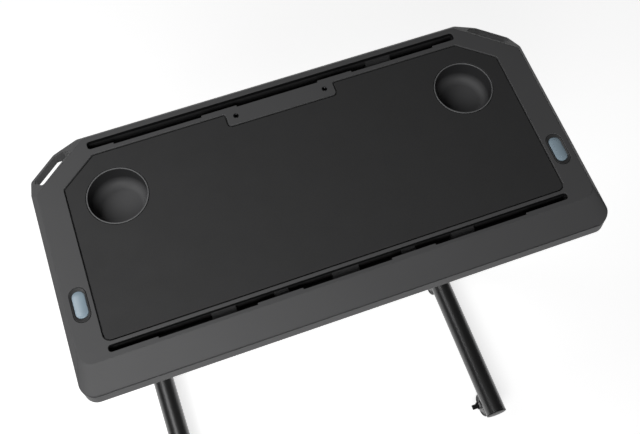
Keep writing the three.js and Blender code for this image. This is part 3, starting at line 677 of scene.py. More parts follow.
def pale_floor(name, colour, glow):
    """Studio floor: nearly white paper, lifted to white where it is seen, so that a soft shadow is left."""
    finish = Finish(name)
    mottle = finish.noise(size=300)
    lifted = finish.blend(finish.seen_directly(), (0, 0, 0), (1, 1, 1))
    finish.set(Base_Color=finish.blend(mottle, shade(colour, 0.99), colour), Roughness=0.9,
               Emission_Color=lifted, Emission_Strength=glow)
    return finish.material


def plated_steel(name, colour):
    """Plated steel: spangle in the colour and short drawn streaks in the gloss."""
    finish = Finish(name)
    spangle = finish.noise(size=6, detail=3)
    streaks = finish.noise(size=0.5, stretch=(1, 1, 30))
    finish.set(Base_Color=finish.blend(spangle, shade(colour, 0.85), shade(colour, 1.12)), Metallic=1.0,
               Roughness=0.24 + 0.1 * streaks + 0.08 * spangle)
    finish.relief((streaks, 0.004))
    return finish.material


shell_finish = moulded("charcoal_moulding", (0.073, 0.073, 0.0745), roughness=0.5, gloss=0.2)
lower_finish = moulded("charcoal_moulding_lower", (0.064, 0.064, 0.0655), roughness=0.5, gloss=0.25)
cup_top = box("cup_holder_l")[1][2]
cup_floor = cup_top - cup_depth
cup_finish = banded_moulding("charcoal_cup_moulding", (0.08, 0.08, 0.082), bands=[
    # Painted shade: the walls above the floor's fillet are painted darker than the floor, as the shade
    # inside the well.
    ((0.03, 0.03, 0.031), cup_floor + cup_fillet / 6, cup_floor + cup_fillet),
    # Painted highlight: the top of the rim is painted lighter.
    ((0.14, 0.14, 0.143), cup_top - cup_rim_highlight_height - fit, cup_top - cup_rim_highlight_height),
], roughness=0.55, gloss=0.2)
# Slot trays: the floor is painted darker than the walls and ramps above it, as painted shade at the bottom
# of the slots.
tray_floor = desk_place[2, 3] - deck_thickness - fit - tray_depth + tray_wall
tray_finish = banded_moulding("slot_moulding", (0.014, 0.014, 0.0145), bands=[
    ((0.042, 0.042, 0.043), tray_floor + fit, tray_floor + 2 * fit),
], roughness=0.6, gloss=0.15)
# Near-black finish of the sheets that paint shade on the slot walls
slot_shade_finish = moulded("slot_painted_shade_moulding", (0.008, 0.008, 0.0083), roughness=0.6, gloss=0.1)
bezel_finish = moulded("charcoal_bezel_moulding", (0.034, 0.034, 0.0345), roughness=0.45, gloss=0.3)
mat_finish = rubber_mat("pebbled_mat", (0.0315, 0.0315, 0.032))
dark_finish = moulded("dark_moulding", (0.011, 0.011, 0.0115), roughness=0.45, grain=0.8)
button_finish = moulded("blue_grey_moulding", (0.25, 0.325, 0.38), roughness=0.36, grain=0.7, depth=0.008)
paint_finish = black_paint("black_satin_paint", (0.012, 0.012, 0.0125), roughness=0.4, coat=1.0)
fork_finish = black_paint("grey_fork_paint", (0.05, 0.05, 0.052), roughness=0.38, coat=0.2)
steel_finish = plated_steel("zinc_plate", (0.5, 0.51, 0.53))
insert_finish = plated_steel("blackened_steel", (0.05, 0.05, 0.052))
wheel_finish = moulded("black_wheel_moulding", (0.016, 0.016, 0.017), roughness=0.5, grain=1.2, depth=0.03)


def wall_rows(foot, run, lean=0, wall=0, high=0):
    """Rows [inset, height] up one side of the moulding: up the wall to its foot crease, up the chamfer and
    onto the deck, each turn an arc. A wall's thickness moves both inwards, square to themselves."""
    slant = np.arctan2(-foot, run)
    inset = wall / np.sin(slant)
    crease = foot - (inset - wall) * np.tan(slant)
    top = lean + run + inset + high * run / -foot
    inside = top + half_depth / 5
    low = wall - shell_thickness
    rows = rounded([
        (inside, low, 0),
        (wall, low, bottom_round),
        (lean + wall, crease, crease_round),
        (top, high, deck_edge_round),
        (inside, high, 0),
    ])
    return rows.reshape(5, -1, 2)[1:4].reshape(-1, 2)


def more_rows(rows, heights):
    """Rows with more put into the upright wall, between its bottom round and its foot crease, at shares of
    the way up that match the given heights on the sides."""
    low, high = side_wall[arc_steps, 1], side_wall[arc_steps + 1, 1]
    share = (np.array(heights) - low)[:, None] / (high - low)
    first, last = rows[arc_steps], rows[arc_steps + 1]
    return np.insert(rows, arc_steps + 1, first + (last - first) * share, 0)


def facet_rows(side_rows):
    """Inset of the facet from its foot for each row of the sides. Past the foot it rises as
    (s + sqrt(s^2 + b^2)) / 2, where s is the straight slope and b a blend, and it turns onto the deck on an
    arc of radius r: reach + r * tan(slope / 2) - r * sin(a), with cos(a) = 1 + z / r."""
    inset, height = side_rows.T
    straight = (facet_drop + height) * facet_reach / facet_drop
    blended = (straight + np.hypot(straight, facet_foot_blend)) / 2
    bend = np.arccos(np.clip(1 + height / deck_edge_round, -1, 1))
    slope_angle = np.arctan2(facet_drop, facet_reach)
    onto_deck = facet_reach + deck_edge_round * (np.tan(slope_angle / 2) - np.sin(bend))
    slope = np.where(bend < slope_angle, onto_deck, blended)
    return np.where(height < -facet_drop, inset + blended, slope)


def moulding_rows(side_rows, near_rows, facet_lines):
    """Rows of points round the desk top: each is a six-sided outline with rounded corners. Its near edge
    has its own inset and height, and the height eases to the sides' round the two near corners."""
    inset, height = side_rows.T
    near_inset, near_height = near_rows.T
    right = half_width - inset
    near = near_inset - half_depth
    far = half_depth - inset
    facet_y = (facet_lines - facet_normal[0] * right) / facet_normal[1]
    facet_x = (facet_lines - facet_normal[1] * far) / facet_normal[0]
    near_radius = near_deck_radius + (near_deck_radius - near_corner_radius) * near_height / shell_thickness
    edge_radius = np.full_like(right, plan_edge_round)
    outlines = np.stack([np.stack(corner, -1) for corner in [
        (right, near, near_radius),
        (right, facet_y, edge_radius),
        (facet_x, far, edge_radius),
        (-facet_x, far, edge_radius),
        (-right, facet_y, edge_radius),
        (-right, near, near_radius),
    ]], 1)
    points = rounded(outlines, corner_steps)
    ease = np.linspace(0, 1, corner_steps + 1)
    ease = ease * ease * (3 - 2 * ease)
    to_side = np.concatenate([ease, np.ones(4 * (corner_steps + 1)), ease[::-1]])
    heights = near_height[:, None] + (height - near_height)[:, None] * to_side
    return np.concatenate([points, heights[..., None]], -1)


def pit(outline, low, ground=lambda x, y: 0, rim=rim_round, under=None):
    """Tool that cuts a pit with a rounded rim: straight walls that flare like a quarter circle up to the
    ground's height, and past it. With an underside's height it flares there too, and goes through."""
    bend = quarter_bend[:-1]
    spread = rim * (1 - np.cos(bend))
    drop = rim * (1 - np.sin(bend))
    beyond = rim / 8
    widest = spread[-1] + (beyond + drop[-1]) * np.tan(bend[-1])
    spread = np.append(spread, [widest, widest])
    drop = np.append(drop, [-beyond, -overrun])
    rows = [ring(rounded(outline), low)]
    if under is not None:
        rows = [ring(rounded(grown(outline, distance)), under + depth)
                for distance, depth in zip(spread[::-1], drop[::-1])]
    for distance, depth in zip(spread, drop):
        points = rounded(grown(outline, distance))
        rows.append(ring(points, ground(*points.T) - depth))
    return piece("pit", moved(grid(rows), desk_place))


def circle_outline(x, y, radius):
    """Outline of a circle, as tangent corners that are all arc."""
    angle = np.arange(circle_corners) * 2 * np.pi / circle_corners
    reach = radius / np.cos(np.pi / circle_corners)
    full = np.full(circle_corners, radius * circle_round_share)
    return np.stack([x + reach * np.cos(angle), y + reach * np.sin(angle), full], -1)


def slot_outline(side_margin, far, narrow, wide, step_shares):
    """Device slot: straight along its far edge, stepped along its near edge."""
    end = half_width - side_margin
    outer, inner, inmost = (share * end for share in step_shares)
    return mirrored([
        (inmost, far - wide, slot_step_radius),
        (inmost, far - narrow, slot_step_radius),
        (inner, far - narrow, slot_step_radius),
        (inner, far - wide, slot_step_radius),
        (outer, far - wide, slot_step_radius),
        (outer, far - narrow, slot_step_radius),
        (end, far - narrow, slot_corner_radius),
        (end, far, slot_corner_radius),
    ])


def grip_outline(side):
    """Hand grip from above: a slot along the facet, whose outer corners stay a bar's width inside."""
    along = np.array([-facet_normal[1], facet_normal[0]])
    side_end = (half_width - rim_chamfer_width - facet_normal[0] * facet_crease) / facet_normal[1]
    far_end = (facet_normal[1] * facet_crease - half_depth + rim_chamfer_width) / facet_normal[0]
    centre = -(side_end + far_end) / 2 - grip_shift
    start = centre - grip_length / 2
    end = centre + grip_length / 2
    inner = facet_crease + grip_inset
    outer = facet_crease + facet_reach - grip_bar
    right = half_width - grip_bar
    far = half_depth - grip_bar
    start_at_right = (right - along[0] * start) / facet_normal[0]
    end_at_far = (far - along[1] * end) / facet_normal[1]
    outer_start = (right - facet_normal[0] * outer) / along[0]
    outer_end = (far - facet_normal[1] * outer) / along[1]
    places = [
        (inner, start),
        (start_at_right, start),
        (outer, outer_start),
        (outer, outer_end),
        (end_at_far, end),
        (inner, end),
    ]
    corners = np.array([facet_normal * out + along * way for out, way in places])
    outline = np.column_stack([corners, np.full(len(corners), grip_corner_radius)])
    return outline if side > 0 else (outline * (-1, 1, 1))[::-1]


def facet_ground(side):
    """Height of a far-corner facet over a point: it falls evenly past the crease."""
    fall = facet_drop / facet_reach
    return lambda x, y: fall * (facet_crease - facet_normal[0] * side * x - facet_normal[1] * y)


mat_half = half_width - mat_side_margin
mat_far = half_depth - mat_far_margin
mat_outline = mirrored([
    (mat_half, -half_depth + mat_near_margin, mat_corner_radius),
    (mat_half, mat_far - mat_chamfer_depth, mat_bend_radius),
    (mat_half - mat_chamfer_width, mat_far, mat_bend_radius),
    (tongue_width / 2, mat_far, tongue_root_radius),
    (tongue_width / 2, mat_far - tongue_reach, tongue_corner_radius),
])
near_slot = slot_outline(near_slot_side_margin, near_slot_setback - half_depth, near_slot_narrow,
                         near_slot_wide, near_slot_step_shares)
far_slot = slot_outline(far_slot_side_margin, half_depth - far_slot_setback, far_slot_narrow,
                        far_slot_wide, far_slot_step_shares)


def in_desk(node):
    """Middle of a solid's box in the desk top's frame."""
    return middle(node) - desk_place[:3, 3]


side_wall = wall_rows(-rim_chamfer_drop, rim_chamfer_width)
near_wall = wall_rows(-near_slope_drop, near_slope_run, near_lip_lean)
corner_line = facet_crease + grip_inset - shell_wall
facet_heights = np.array(ease_row_heights) - facet_drop


def make_top_shell():
    """Top shell: deck, rim and slopes down to the parting line, and the two far corners to the bottom."""
    foot_line = facet_crease + facet_reach
    side_rows = more_rows(side_wall, facet_heights)
    near_rows = more_rows(near_wall, facet_heights)
    form = piece("top_shell_fine", moved(
        grid(moulding_rows(side_rows, near_rows, foot_line - facet_rows(side_rows))), desk_place))
    inner_side = wall_rows(-rim_chamfer_drop, rim_chamfer_width, 0, shell_wall, -deck_thickness)
    inner_near = wall_rows(-near_slope_drop, near_slope_run, near_lip_lean, shell_wall, -deck_thickness)
    corner_lines = np.full(len(inner_side), corner_line)
    cavity = piece("cavity", moved(grid(moulding_rows(inner_side, inner_near, corner_lines)), desk_place))
    beyond = half_width + 4 * overrun
    cut_y = (corner_line - facet_normal[0] * beyond) / facet_normal[1]
    cut_x = (corner_line - facet_normal[1] * beyond) / facet_normal[0]
    lower = mirrored([(beyond, -beyond, 0), (beyond, cut_y, 0), (cut_x, beyond, 0)])[:, :2]
    below = piece("below", moved(
        grid([ring(lower, -shell_thickness - overrun), ring(lower, -near_slope_drop)]), desk_place))
    outside, inside = grown(mat_outline, mat_groove), grown(mat_outline, -groove_undercut)
    trench = [(outside, -groove_depth), (outside, -mat_thickness), (inside, -mat_thickness),
              (inside, -groove_depth)]
    tools = [
        cavity,
        below,
        pit(grown(mat_outline, mat_groove), -mat_sink - mat_thickness - fit, rim=recess_rim_round),
        piece("trench", moved(stack(trench, closed=True), desk_place)),
        pit(near_slot, -slot_cut_depth),
        pit(far_slot, -slot_cut_depth),
    ]
    for letter, side in sides.items():
        cup_x, cup_y, _ = in_desk("cup_holder_" + letter)
        button_x, button_y, _ = in_desk("button_bezel_" + letter)
        insert_x, insert_y, _ = in_desk("threaded_insert_" + letter)
        bezel = np.array(oval(bezel_width, bezel_length, fit)) + (button_x, button_y, 0)
        cup = circle_outline(cup_x, cup_y, cup_radius + cup_wall + fit)
        insert = circle_outline(insert_x, insert_y, insert_radius + fit)
        tools += [
            pit(bezel, -slot_cut_depth, rim=2 * rim_round),
            pit(cup, -slot_cut_depth),
            pit(insert, -slot_cut_depth, rim=rim_round / 2),
            pit(grip_outline(side), 0, facet_ground(side), grip_rim_round, under=-shell_thickness),
        ]
    finished(carved(form, *tools), shell_finish, "shell", "desk_top", "top_shell")


def slab(outline, low, high, edge, place=desk_place):
    """Plate between two heights whose edges are quarter rounds: a row at angle a lies edge * (1 - cos(a))
    inside the outline and edge * (1 - sin(a)) short of the face."""
    edges = [(grown(outline, edge * (np.cos(a) - 1)), edge * (1 - np.sin(a))) for a in quarter_bend]
    rows = [(points, low + short) for points, short in edges[::-1]]
    rows += [(points, high - short) for points, short in edges]
    return moved(stack(rows), place)


def make_bottom_shell():
    """Bottom shell: an open tray whose rim carries a lip that stands inside the top shell, past the gap."""
    slant = np.arctan2(near_slope_drop, near_slope_run)
    lip_top = -near_slope_drop - parting_gap
    lap_in = shell_wall + fit
    inside = half_depth / 3
    profile = np.array([
        (inside, -shell_thickness, 0),
        (0, -shell_thickness, bottom_round),
        (0, lip_top, rim_round),
        (lap_in, lip_top, fit),
        (lap_in, lip_top + lap_height, fit),
        (lap_in + lap_lip, lip_top + lap_height, fit),
        (lap_in + lap_lip, lip_top - lap_height, fit),
        (shell_wall, lip_top - lap_height, fit),
        (shell_wall, shell_floor, bottom_round / 2),
        (inside, shell_floor, 0),
    ])
    lean = near_lip_lean * (profile[:, 1] + shell_thickness) / (shell_thickness - near_slope_drop)
    past = profile[:, 1] + near_slope_drop
    slope = near_lip_lean + past / np.tan(slant) + profile[:, 0] / np.sin(slant)
    near = profile.copy()
    near[:, 0] = np.where(past > 0, slope, profile[:, 0] + lean)
    rows = [rounded(line).reshape(len(line), -1, 2)[1:-1].reshape(-1, 2) for line in (profile, near)]
    facet_lines = corner_line - fit - rows[0][:, 0]
    shell = piece("bottom_shell_fine", moved(grid(moulding_rows(*rows, facet_lines)), desk_place))
    holes = [piece("hole", cylinder(rod_hole_radius, -2 * bracket_plate, 2 * bracket_plate,
                                    column_place(side), round_columns)) for side in sides.values()]
    finished(carved(shell, *holes), lower_finish, "lower_shell", "desk_top", "bottom_shell")


def make_mat():
    """Mat: a plate with softly rounded edges, and a round hole for each cup."""
    mat = piece("desk_mat_fine", slab(mat_outline, -mat_sink - mat_thickness, -mat_sink, mat_edge_round))
    holes = []
    for letter in sides:
        x, y, _ = in_desk("cup_holder_" + letter)
        outline = circle_outline(x, y, cup_radius + cup_wall + cup_gap)
        holes.append(pit(outline, -2 * mat_thickness, lambda x, y: -mat_sink, mat_edge_round))
    finished(carved(mat, *holes), mat_finish, "mat", "desk_top", "desk_mat")


def make_slot_shade_liner(name, outline):
    """Painted shade: a near-black sheet that lines a device slot's walls, from just under the slot's rim
    down to the tray.
    """
    outside, inside = grown(outline, -fit / 3), grown(outline, -slot_shade_liner_wall)
    rows = [(outside, -deck_thickness), (outside, -slot_shade_liner_drop), (inside, -slot_shade_liner_drop),
            (inside, -deck_thickness)]
    lip = piece(name, moved(stack(rows, closed=True), desk_place))
    finished(lip, slot_shade_finish, "dark_plastic", "desk_top")


def make_cup(letter):
    """Cup holder: a turned well with a wide fillet at its floor and a thin rounded rim."""
    node = "cup_holder_" + letter
    x, y, _ = in_desk(node)
    top = box(node)[1][2] - desk_place[2, 3]
    floor = top - cup_depth
    outer = cup_radius + cup_wall
    under_deck = -deck_thickness - fit
    profile = rounded([
        (0, floor - cup_wall, 0),
        (outer, floor - cup_wall, cup_fillet),
        (outer, under_deck - cup_wall, fit),
        (outer + cup_flange, under_deck - cup_wall, fit),
        (outer + cup_flange, under_deck, fit),
        (outer, under_deck, fit),
        (outer, top, cup_rim_round),
        (cup_radius, top, cup_rim_round),
        (cup_radius, floor, cup_fillet),
        (0, floor, 0),
    ], corner_steps)
    make_turned("cup_well_" + letter, profile, desk_place @ shift(x, y, 0),
                (cup_finish, "shell", "desk_top", node))


def make_bezel(letter):
    """Bezel: an oval cup with a flush outer lip that dishes down to the button, and a hole for its stem."""
    node = "button_bezel_" + letter
    x, y, _ = in_desk(node)
    low = box(node)[0][2] - desk_place[2, 3]
    outer = oval(bezel_width, bezel_length)
    opening = oval(button_width, button_length, button_gap)
    chamber = oval(button_width, button_length, button_gap + button_flange)
    stem_hole = oval(2 * button_stem_radius, 2 * button_stem_radius, button_gap)
    rows = [(outer, low), (outer, -rim_round)]
    rows += [(grown(outer, rim_round * (np.cos(a) - 1)), -rim_round * (1 - np.sin(a))) for a in bezel_bend]
    rows += [
        (grown(outer, -rim_round - fit), -bezel_dish / 8),
        (grown(opening, fit), -bezel_dish),
        (opening, -bezel_dish - fit),
        (opening, -bezel_lip - fit),
        (chamber, -bezel_lip - fit),
        (chamber, low + bezel_floor),
        (stem_hole, low + bezel_floor),
        (stem_hole, low),
    ]
    bezel = piece("bezel_" + letter, moved(stack(rows, corner_steps, True), desk_place @ shift(x, y, 0)))
    finished(bezel, bezel_finish, "dark_plastic", "desk_top", node)


def make_button(letter):
    """Button: stem, flange and oval body under a crown that rises as 1 - (1 - inset / reach)^power."""
    node = "release_button_" + letter
    low, high = (corner - desk_place[:3, 3] for corner in box(node))
    x, y, _ = (low + high) / 2
    bottom = -bezel_lip - fit - button_flange_height
    stem = oval(2 * button_stem_radius, 2 * button_stem_radius)
    flange = oval(button_width, button_length, button_flange)
    body = oval(button_width, button_length)
    rows = [(stem, low[2]), (stem, bottom), (flange, bottom), (flange, bottom + button_flange_height),
            (body, bottom + button_flange_height)]
    reach = button_width / 2
    for inset in reach * np.array(button_crown_shares):
        rise = 1 - (1 - inset / reach) ** button_crown_power
        rows.append((grown(body, -inset), button_edge_height + (high[2] - button_edge_height) * rise))
    button = piece("button_cap_" + letter, moved(stack(rows, corner_steps), desk_place @ shift(x, y, 0)))
    finished(button, button_finish, "button", "button_" + letter, node)


def make_insert(letter):
    """Threaded insert: a plated bush with a chamfered mouth."""
    node = "threaded_insert_" + letter
    low, high = box(node)
    profile = [
        (insert_bore, low[2]),
        (insert_radius, low[2]),
        (insert_radius, high[2] - insert_chamfer / 2),
        (insert_radius - insert_chamfer / 2, high[2]),
        (insert_bore + insert_chamfer, high[2]),
        (insert_bore, high[2] - insert_chamfer),
    ]
    make_turned("insert_" + letter, profile, shift(*(middle(node) * (1, 1, 0))),
                (insert_finish, "steel", "desk_top", node), small_columns)


def socket_screw(head_radius, head_height, shank_radius, length, place):
    """Button-head screw along Z, head up, with a hexagon socket: its rows are rings in polar form, and the
    hexagon's ring lies at across / 2 / cos(angle from the middle of a side)."""
    angle = np.linspace(0, 2 * np.pi, screw_columns, endpoint=False)
    across = head_radius * screw_across_share
    hexagon = across / 2 / np.cos((angle + np.pi / 6) % (np.pi / 3) - np.pi / 6)
    shoulder = head_height * screw_side_share
    rows = [(shank_radius, -length), (shank_radius, 0), (head_radius, 0), (head_radius, shoulder)]
    rows += [(head_radius * (screw_top_share + (1 - screw_top_share) * np.cos(a)),
              shoulder + (head_height - shoulder) * np.sin(a)) for a in screw_bend]
    rows += [(head_radius * screw_land_share, head_height), (hexagon, head_height), (hexagon, shoulder)]
    return moved(hooped(rows, screw_columns), place)


def make_fasteners():
    """Screws that hold the two shells together, and the bolts of the brackets and the cross beam."""
    upside_down = axes((1, 0, 0), (0, -1, 0), (0, 0, -1))
    screw = (screw_head_radius, screw_head_height, screw_radius, screw_length)
    bolt = (bolt_head_radius, bolt_head_height, bolt_radius)
    screws = []
    bolts = []
    for side in sides.values():
        places = [(share, near_screw_margin - half_depth) for share in near_screw_shares]
        places += [(share, half_depth - far_screw_margin) for share in far_screw_shares]
        for share, y in places:
            place = desk_place @ shift(side * share * half_width, y, -shell_thickness) @ upside_down
            screws.append(socket_screw(*screw, place))
        outboard = side * (leg_x + bracket_outboard - bolt_edge)
        inboard = side * (leg_x - bracket_inboard + bolt_edge)
        for x in (outboard, inboard):
            for end in (-1, 1):
                place = desk_place @ shift(x, meet_y + end * (bracket_depth / 2 - bolt_edge), under_plate)
                bolts.append(socket_screw(*bolt, 3 * bracket_plate, place @ upside_down))
        beam_bolt = shift(side * (leg_x - bracket_inboard + beam_depth / 2), meet_y,
                          under_plate - fit - beam_height)
        bolts.append(socket_screw(*bolt, beam_height + bracket_plate, desk_place @ beam_bolt @ upside_down))
    finished(piece("shell_screws", *screws), steel_finish, "steel", "desk_top")
    finished(piece("bracket_bolts", *bolts), steel_finish, "steel", "desk_top")


def pipe(centres, angles, radius, wall, x):
    """Tube in the plane of a leg: rings of its outside along a path of [y, z] and direction angles, and
    back again along its bore."""
    turn = np.linspace(0, 2 * np.pi, tube_columns, endpoint=False)
    centres = np.asarray(centres, float)
    across = np.column_stack([-np.sin(angles), np.cos(angles)])

    def rings(reach):
        plane = centres[:, None] + reach * np.sin(turn)[None, :, None] * across[:, None]
        sideways = np.broadcast_to(x + reach * np.cos(turn)[:, None], plane.shape[:2] + (1,))
        return np.concatenate([sideways, plane], -1)

    return grid(np.concatenate([rings(radius), rings(radius - wall)[::-1]]), closed=True)


def make_leg(letter, side):
    """Leg tube, bent from one length: along the floor, round the bend, and up the leaning column."""
    nodes = [kind + letter for kind in ("foot_tube_", "leg_elbow_", "outer_column_")]
    low, high = box(nodes[0])
    height = middle(nodes[0])[2]
    bend_y = high[1] + fit
    top = column_place(side) @ (0, 0, outer_top, 1)
    turn = np.pi / 2 + column_lean
    bend = np.linspace(0, turn, bend_steps + 1)
    centres = [(low[1], height)]
    centres += [(bend_y + bend_radius * np.sin(a), height + bend_radius * (1 - np.cos(a))) for a in bend]
    centres.append(tuple(top[1:3]))
    angles = np.concatenate([[0], bend, [turn]])
    leg = piece("leg_tube_" + letter, pipe(centres, angles, tube_radius, tube_wall, side * leg_x))
    finished(leg, paint_finish, "tube", "base", *nodes)


def make_column(letter, side):
    """Inner column, and the collar that guides it at the top of the outer one."""
    inner = rounded([
        (inner_tube_radius - tube_wall, inner_end, fit),
        (inner_tube_radius, inner_end, fit),
        (inner_tube_radius, inner_top, fit),
        (inner_tube_radius - tube_wall, inner_top, fit),
    ])
    make_turned("slide_tube_" + letter, inner, column_place(side),
                (steel_finish, "steel", "desk_top", "inner_column_" + letter))
    seat = collar_z - collar_top
    outside = tube_radius + fit + collar_wall
    groove = seat - collar_skirt / 2
    collar = rounded([
        (tube_radius + fit, seat - collar_skirt, fit),
        (outside, seat - collar_skirt, collar_round / 2),
        (outside, groove - collar_round / 2, fit),
        (outside - collar_round / 2, groove - collar_round / 4, fit),
        (outside - collar_round / 2, groove + collar_round / 4, fit),
        (outside, groove + collar_round / 2, fit),
        (outside, collar_z, collar_round),
        (inner_tube_radius + fit, collar_z, collar_round / 2),
        (inner_tube_radius + fit, seat, fit),
        (tube_radius + fit, seat, fit),
    ])
    make_turned("collar_" + letter, collar, column_place(side),
                (dark_finish, "dark_plastic", "base", "column_collar_" + letter))


def make_end_cap(letter, side):
    """End cap of a foot: a plug, a short band and a dome that rises as an ellipse."""
    bore = tube_radius - tube_wall - fit
    bend = np.linspace(0, np.pi / 2, dome_steps + 1)
    dome = np.column_stack([tube_radius * np.cos(bend), cap_band + cap_dome * np.sin(bend)])
    profile = np.concatenate([[(0, -cap_plug), (bore, -cap_plug), (bore, fit), (tube_radius, fit)], dome])
    foot_end = box("foot_tube_" + letter)[0][1]
    place = shift(side * leg_x, foot_end, middle("foot_tube_" + letter)[2]) @ front_view
    make_turned("end_cap_" + letter, profile, place,
                (dark_finish, "dark_plastic", "base", "foot_end_cap_" + letter), tube_columns)


def cylinder(radius, low, high, place, columns=tube_columns):
    """Plain round bar, for cutting and joining."""
    return moved(turned([(0, low), (radius, low), (radius, high), (0, high)], columns), place)


def make_tie():
    """Tube that ties the legs, saddled round both columns, and the screws that hold it."""
    y, z = middle("tie_tube")[1:]
    along = shift(0, y, z) @ side_view
    tie = piece("tie_bar", cylinder(tie_radius, -leg_x, leg_x, along))
    saddles = [piece("saddle", cylinder(tube_radius + fit, -metre, 0, column_place(side)))
               for side in sides.values()]
    finished(carved(tie, *saddles), paint_finish, "tube", "base", "tie_tube")
    for letter, side in sides.items():
        outward = axes((0, 1, 0), (0, 0, side), (side, 0, 0))
        place = shift(side * (leg_x + tube_radius + fit), y, z) @ outward
        screw = socket_screw(tie_bolt_head_radius, tie_bolt_head_height, tie_bolt_radius,
                             2 * tube_radius + tie_bolt_grip, place)
        finished(piece("tie_screw_" + letter, screw), steel_finish, "steel", "base", "tie_bolt_" + letter)


def make_bracket(letter, side):
    """Bracket: a plate under the top, and a leaning sleeve welded to it for the inner column. A level plane
    meets the sleeve at height (level - radius * sin(angle) * sin(lean)) / cos(lean)."""
    x0, x1 = sorted((side * (leg_x - bracket_inboard), side * (leg_x + bracket_outboard)))
    y0, y1 = meet_y - bracket_depth / 2, meet_y + bracket_depth / 2
    plate = rectangle((x0, y0), (x1, y1), bracket_corner_radius)
    bracket = piece("bracket_" + letter, slab(plate, under_plate, under_shell, 2 * fit))
    angle = np.linspace(0, 2 * np.pi, tube_columns, endpoint=False)

    def met_at(level, radius):
        return (level - radius * np.sin(angle) * np.sin(column_lean)) / np.cos(column_lean)

    bore = inner_tube_radius + fit
    outside = bore + bracket_sleeve_wall
    weld = outside + weld_round
    level = (under_plate + under_shell) / 2 + shell_thickness - bracket_plate / 2
    rows = [
        (outside - 2 * fit, sleeve_end),
        (outside, sleeve_end + 2 * fit),
        (outside, met_at(level - weld_round, outside)),
        (weld, met_at(level, weld)),
        (weld, met_at(level, weld) + bracket_plate / 2),
    ]
    hollow = [(bore, sleeve_end - overrun), (bore, met_at(under_plate + shell_thickness, bore))]
    place = column_place(side)
    carved(bracket, piece("sleeve", moved(hooped(rows, tube_columns), place)), operation="UNION")
    carved(bracket, piece("bore", moved(hooped(hollow, tube_columns), place)),
           piece("passage", cylinder(rod_hole_radius, sleeve_end, bracket_plate, place)))
    finished(bracket, paint_finish, "tube", "desk_top", "column_bracket_" + letter)


def make_crossbeam():
    """Cross beam: a box tube with rounded corners, open at both ends."""
    low, high = box("crossbeam")
    outside = rectangle(low[1:], high[1:], beam_corner_radius)
    inside = grown(outside, -beam_wall)
    rows = [(outside, low[0]), (outside, high[0]), (inside, high[0]), (inside, low[0])]
    finished(piece("cross_beam", moved(stack(rows, closed=True), side_view)),
             paint_finish, "tube", "desk_top", "crossbeam")


def make_wheel(name):
    """Wheel: a round-shouldered tread, a recessed web and a raised hub, turned on its axle."""
    half = wheel_width / 2
    web = half - hub_dish
    face = [
        (hub_radius, half, wheel_edge_round),
        (hub_radius + hub_dish / 2, web, wheel_web_round),
        (wheel_radius - tread_round, web, wheel_web_round),
        (wheel_radius - tread_round + hub_dish / 2, half, wheel_edge_round),
        (wheel_radius, half, tread_round),
    ]
    profile = [(axle_radius + fit, -half, fit)] + [(radius, -x, turn) for radius, x, turn in face]
    profile += [*face[::-1], (axle_radius + fit, half, fit)]
    node = "caster_wheel_" + name
    make_turned("wheel_" + name, rounded(profile), shift(*middle(node)) @ side_view,
                (wheel_finish, "wheel", "wheel_" + name, node))


def make_axle(name):
    """Axle: a pin with a domed rivet head at each end."""
    node = "caster_axle_" + name
    low, high = box(node)
    seat = (high[0] - low[0]) / 2 - axle_head_height
    bend = np.linspace(0, np.pi / 2, head_steps + 1)
    head = [(axle_head_radius * np.cos(a), seat + axle_head_height * np.sin(a)) for a in bend]
    upper = [(axle_radius, seat), *head]
    profile = [(radius, -x) for radius, x in upper[::-1]] + upper
    make_turned("axle_" + name, profile, shift(*middle(node)) @ side_view,
                (steel_finish, "steel", "swivel_" + name, node), small_columns)


def make_socket(name):
    """Caster socket: a flange under the tube, and the bush that holds the stem."""
    node = "caster_socket_" + name
    low, high = box(node)
    flange_top = low[2] + socket_flange
    profile = rounded([
        (stem_radius + fit, low[2], fit),
        (socket_flange_radius, low[2], fit),
        (socket_flange_radius, flange_top, socket_flange / 2),
        (socket_radius, flange_top, fit),
        (socket_radius, high[2], fit),
        (stem_radius + fit, high[2], fit),
    ])
    make_turned("socket_" + name, profile, shift(*(middle(node) * (1, 1, 0))),
                (dark_finish, "dark_plastic", "base", node), tube_columns)


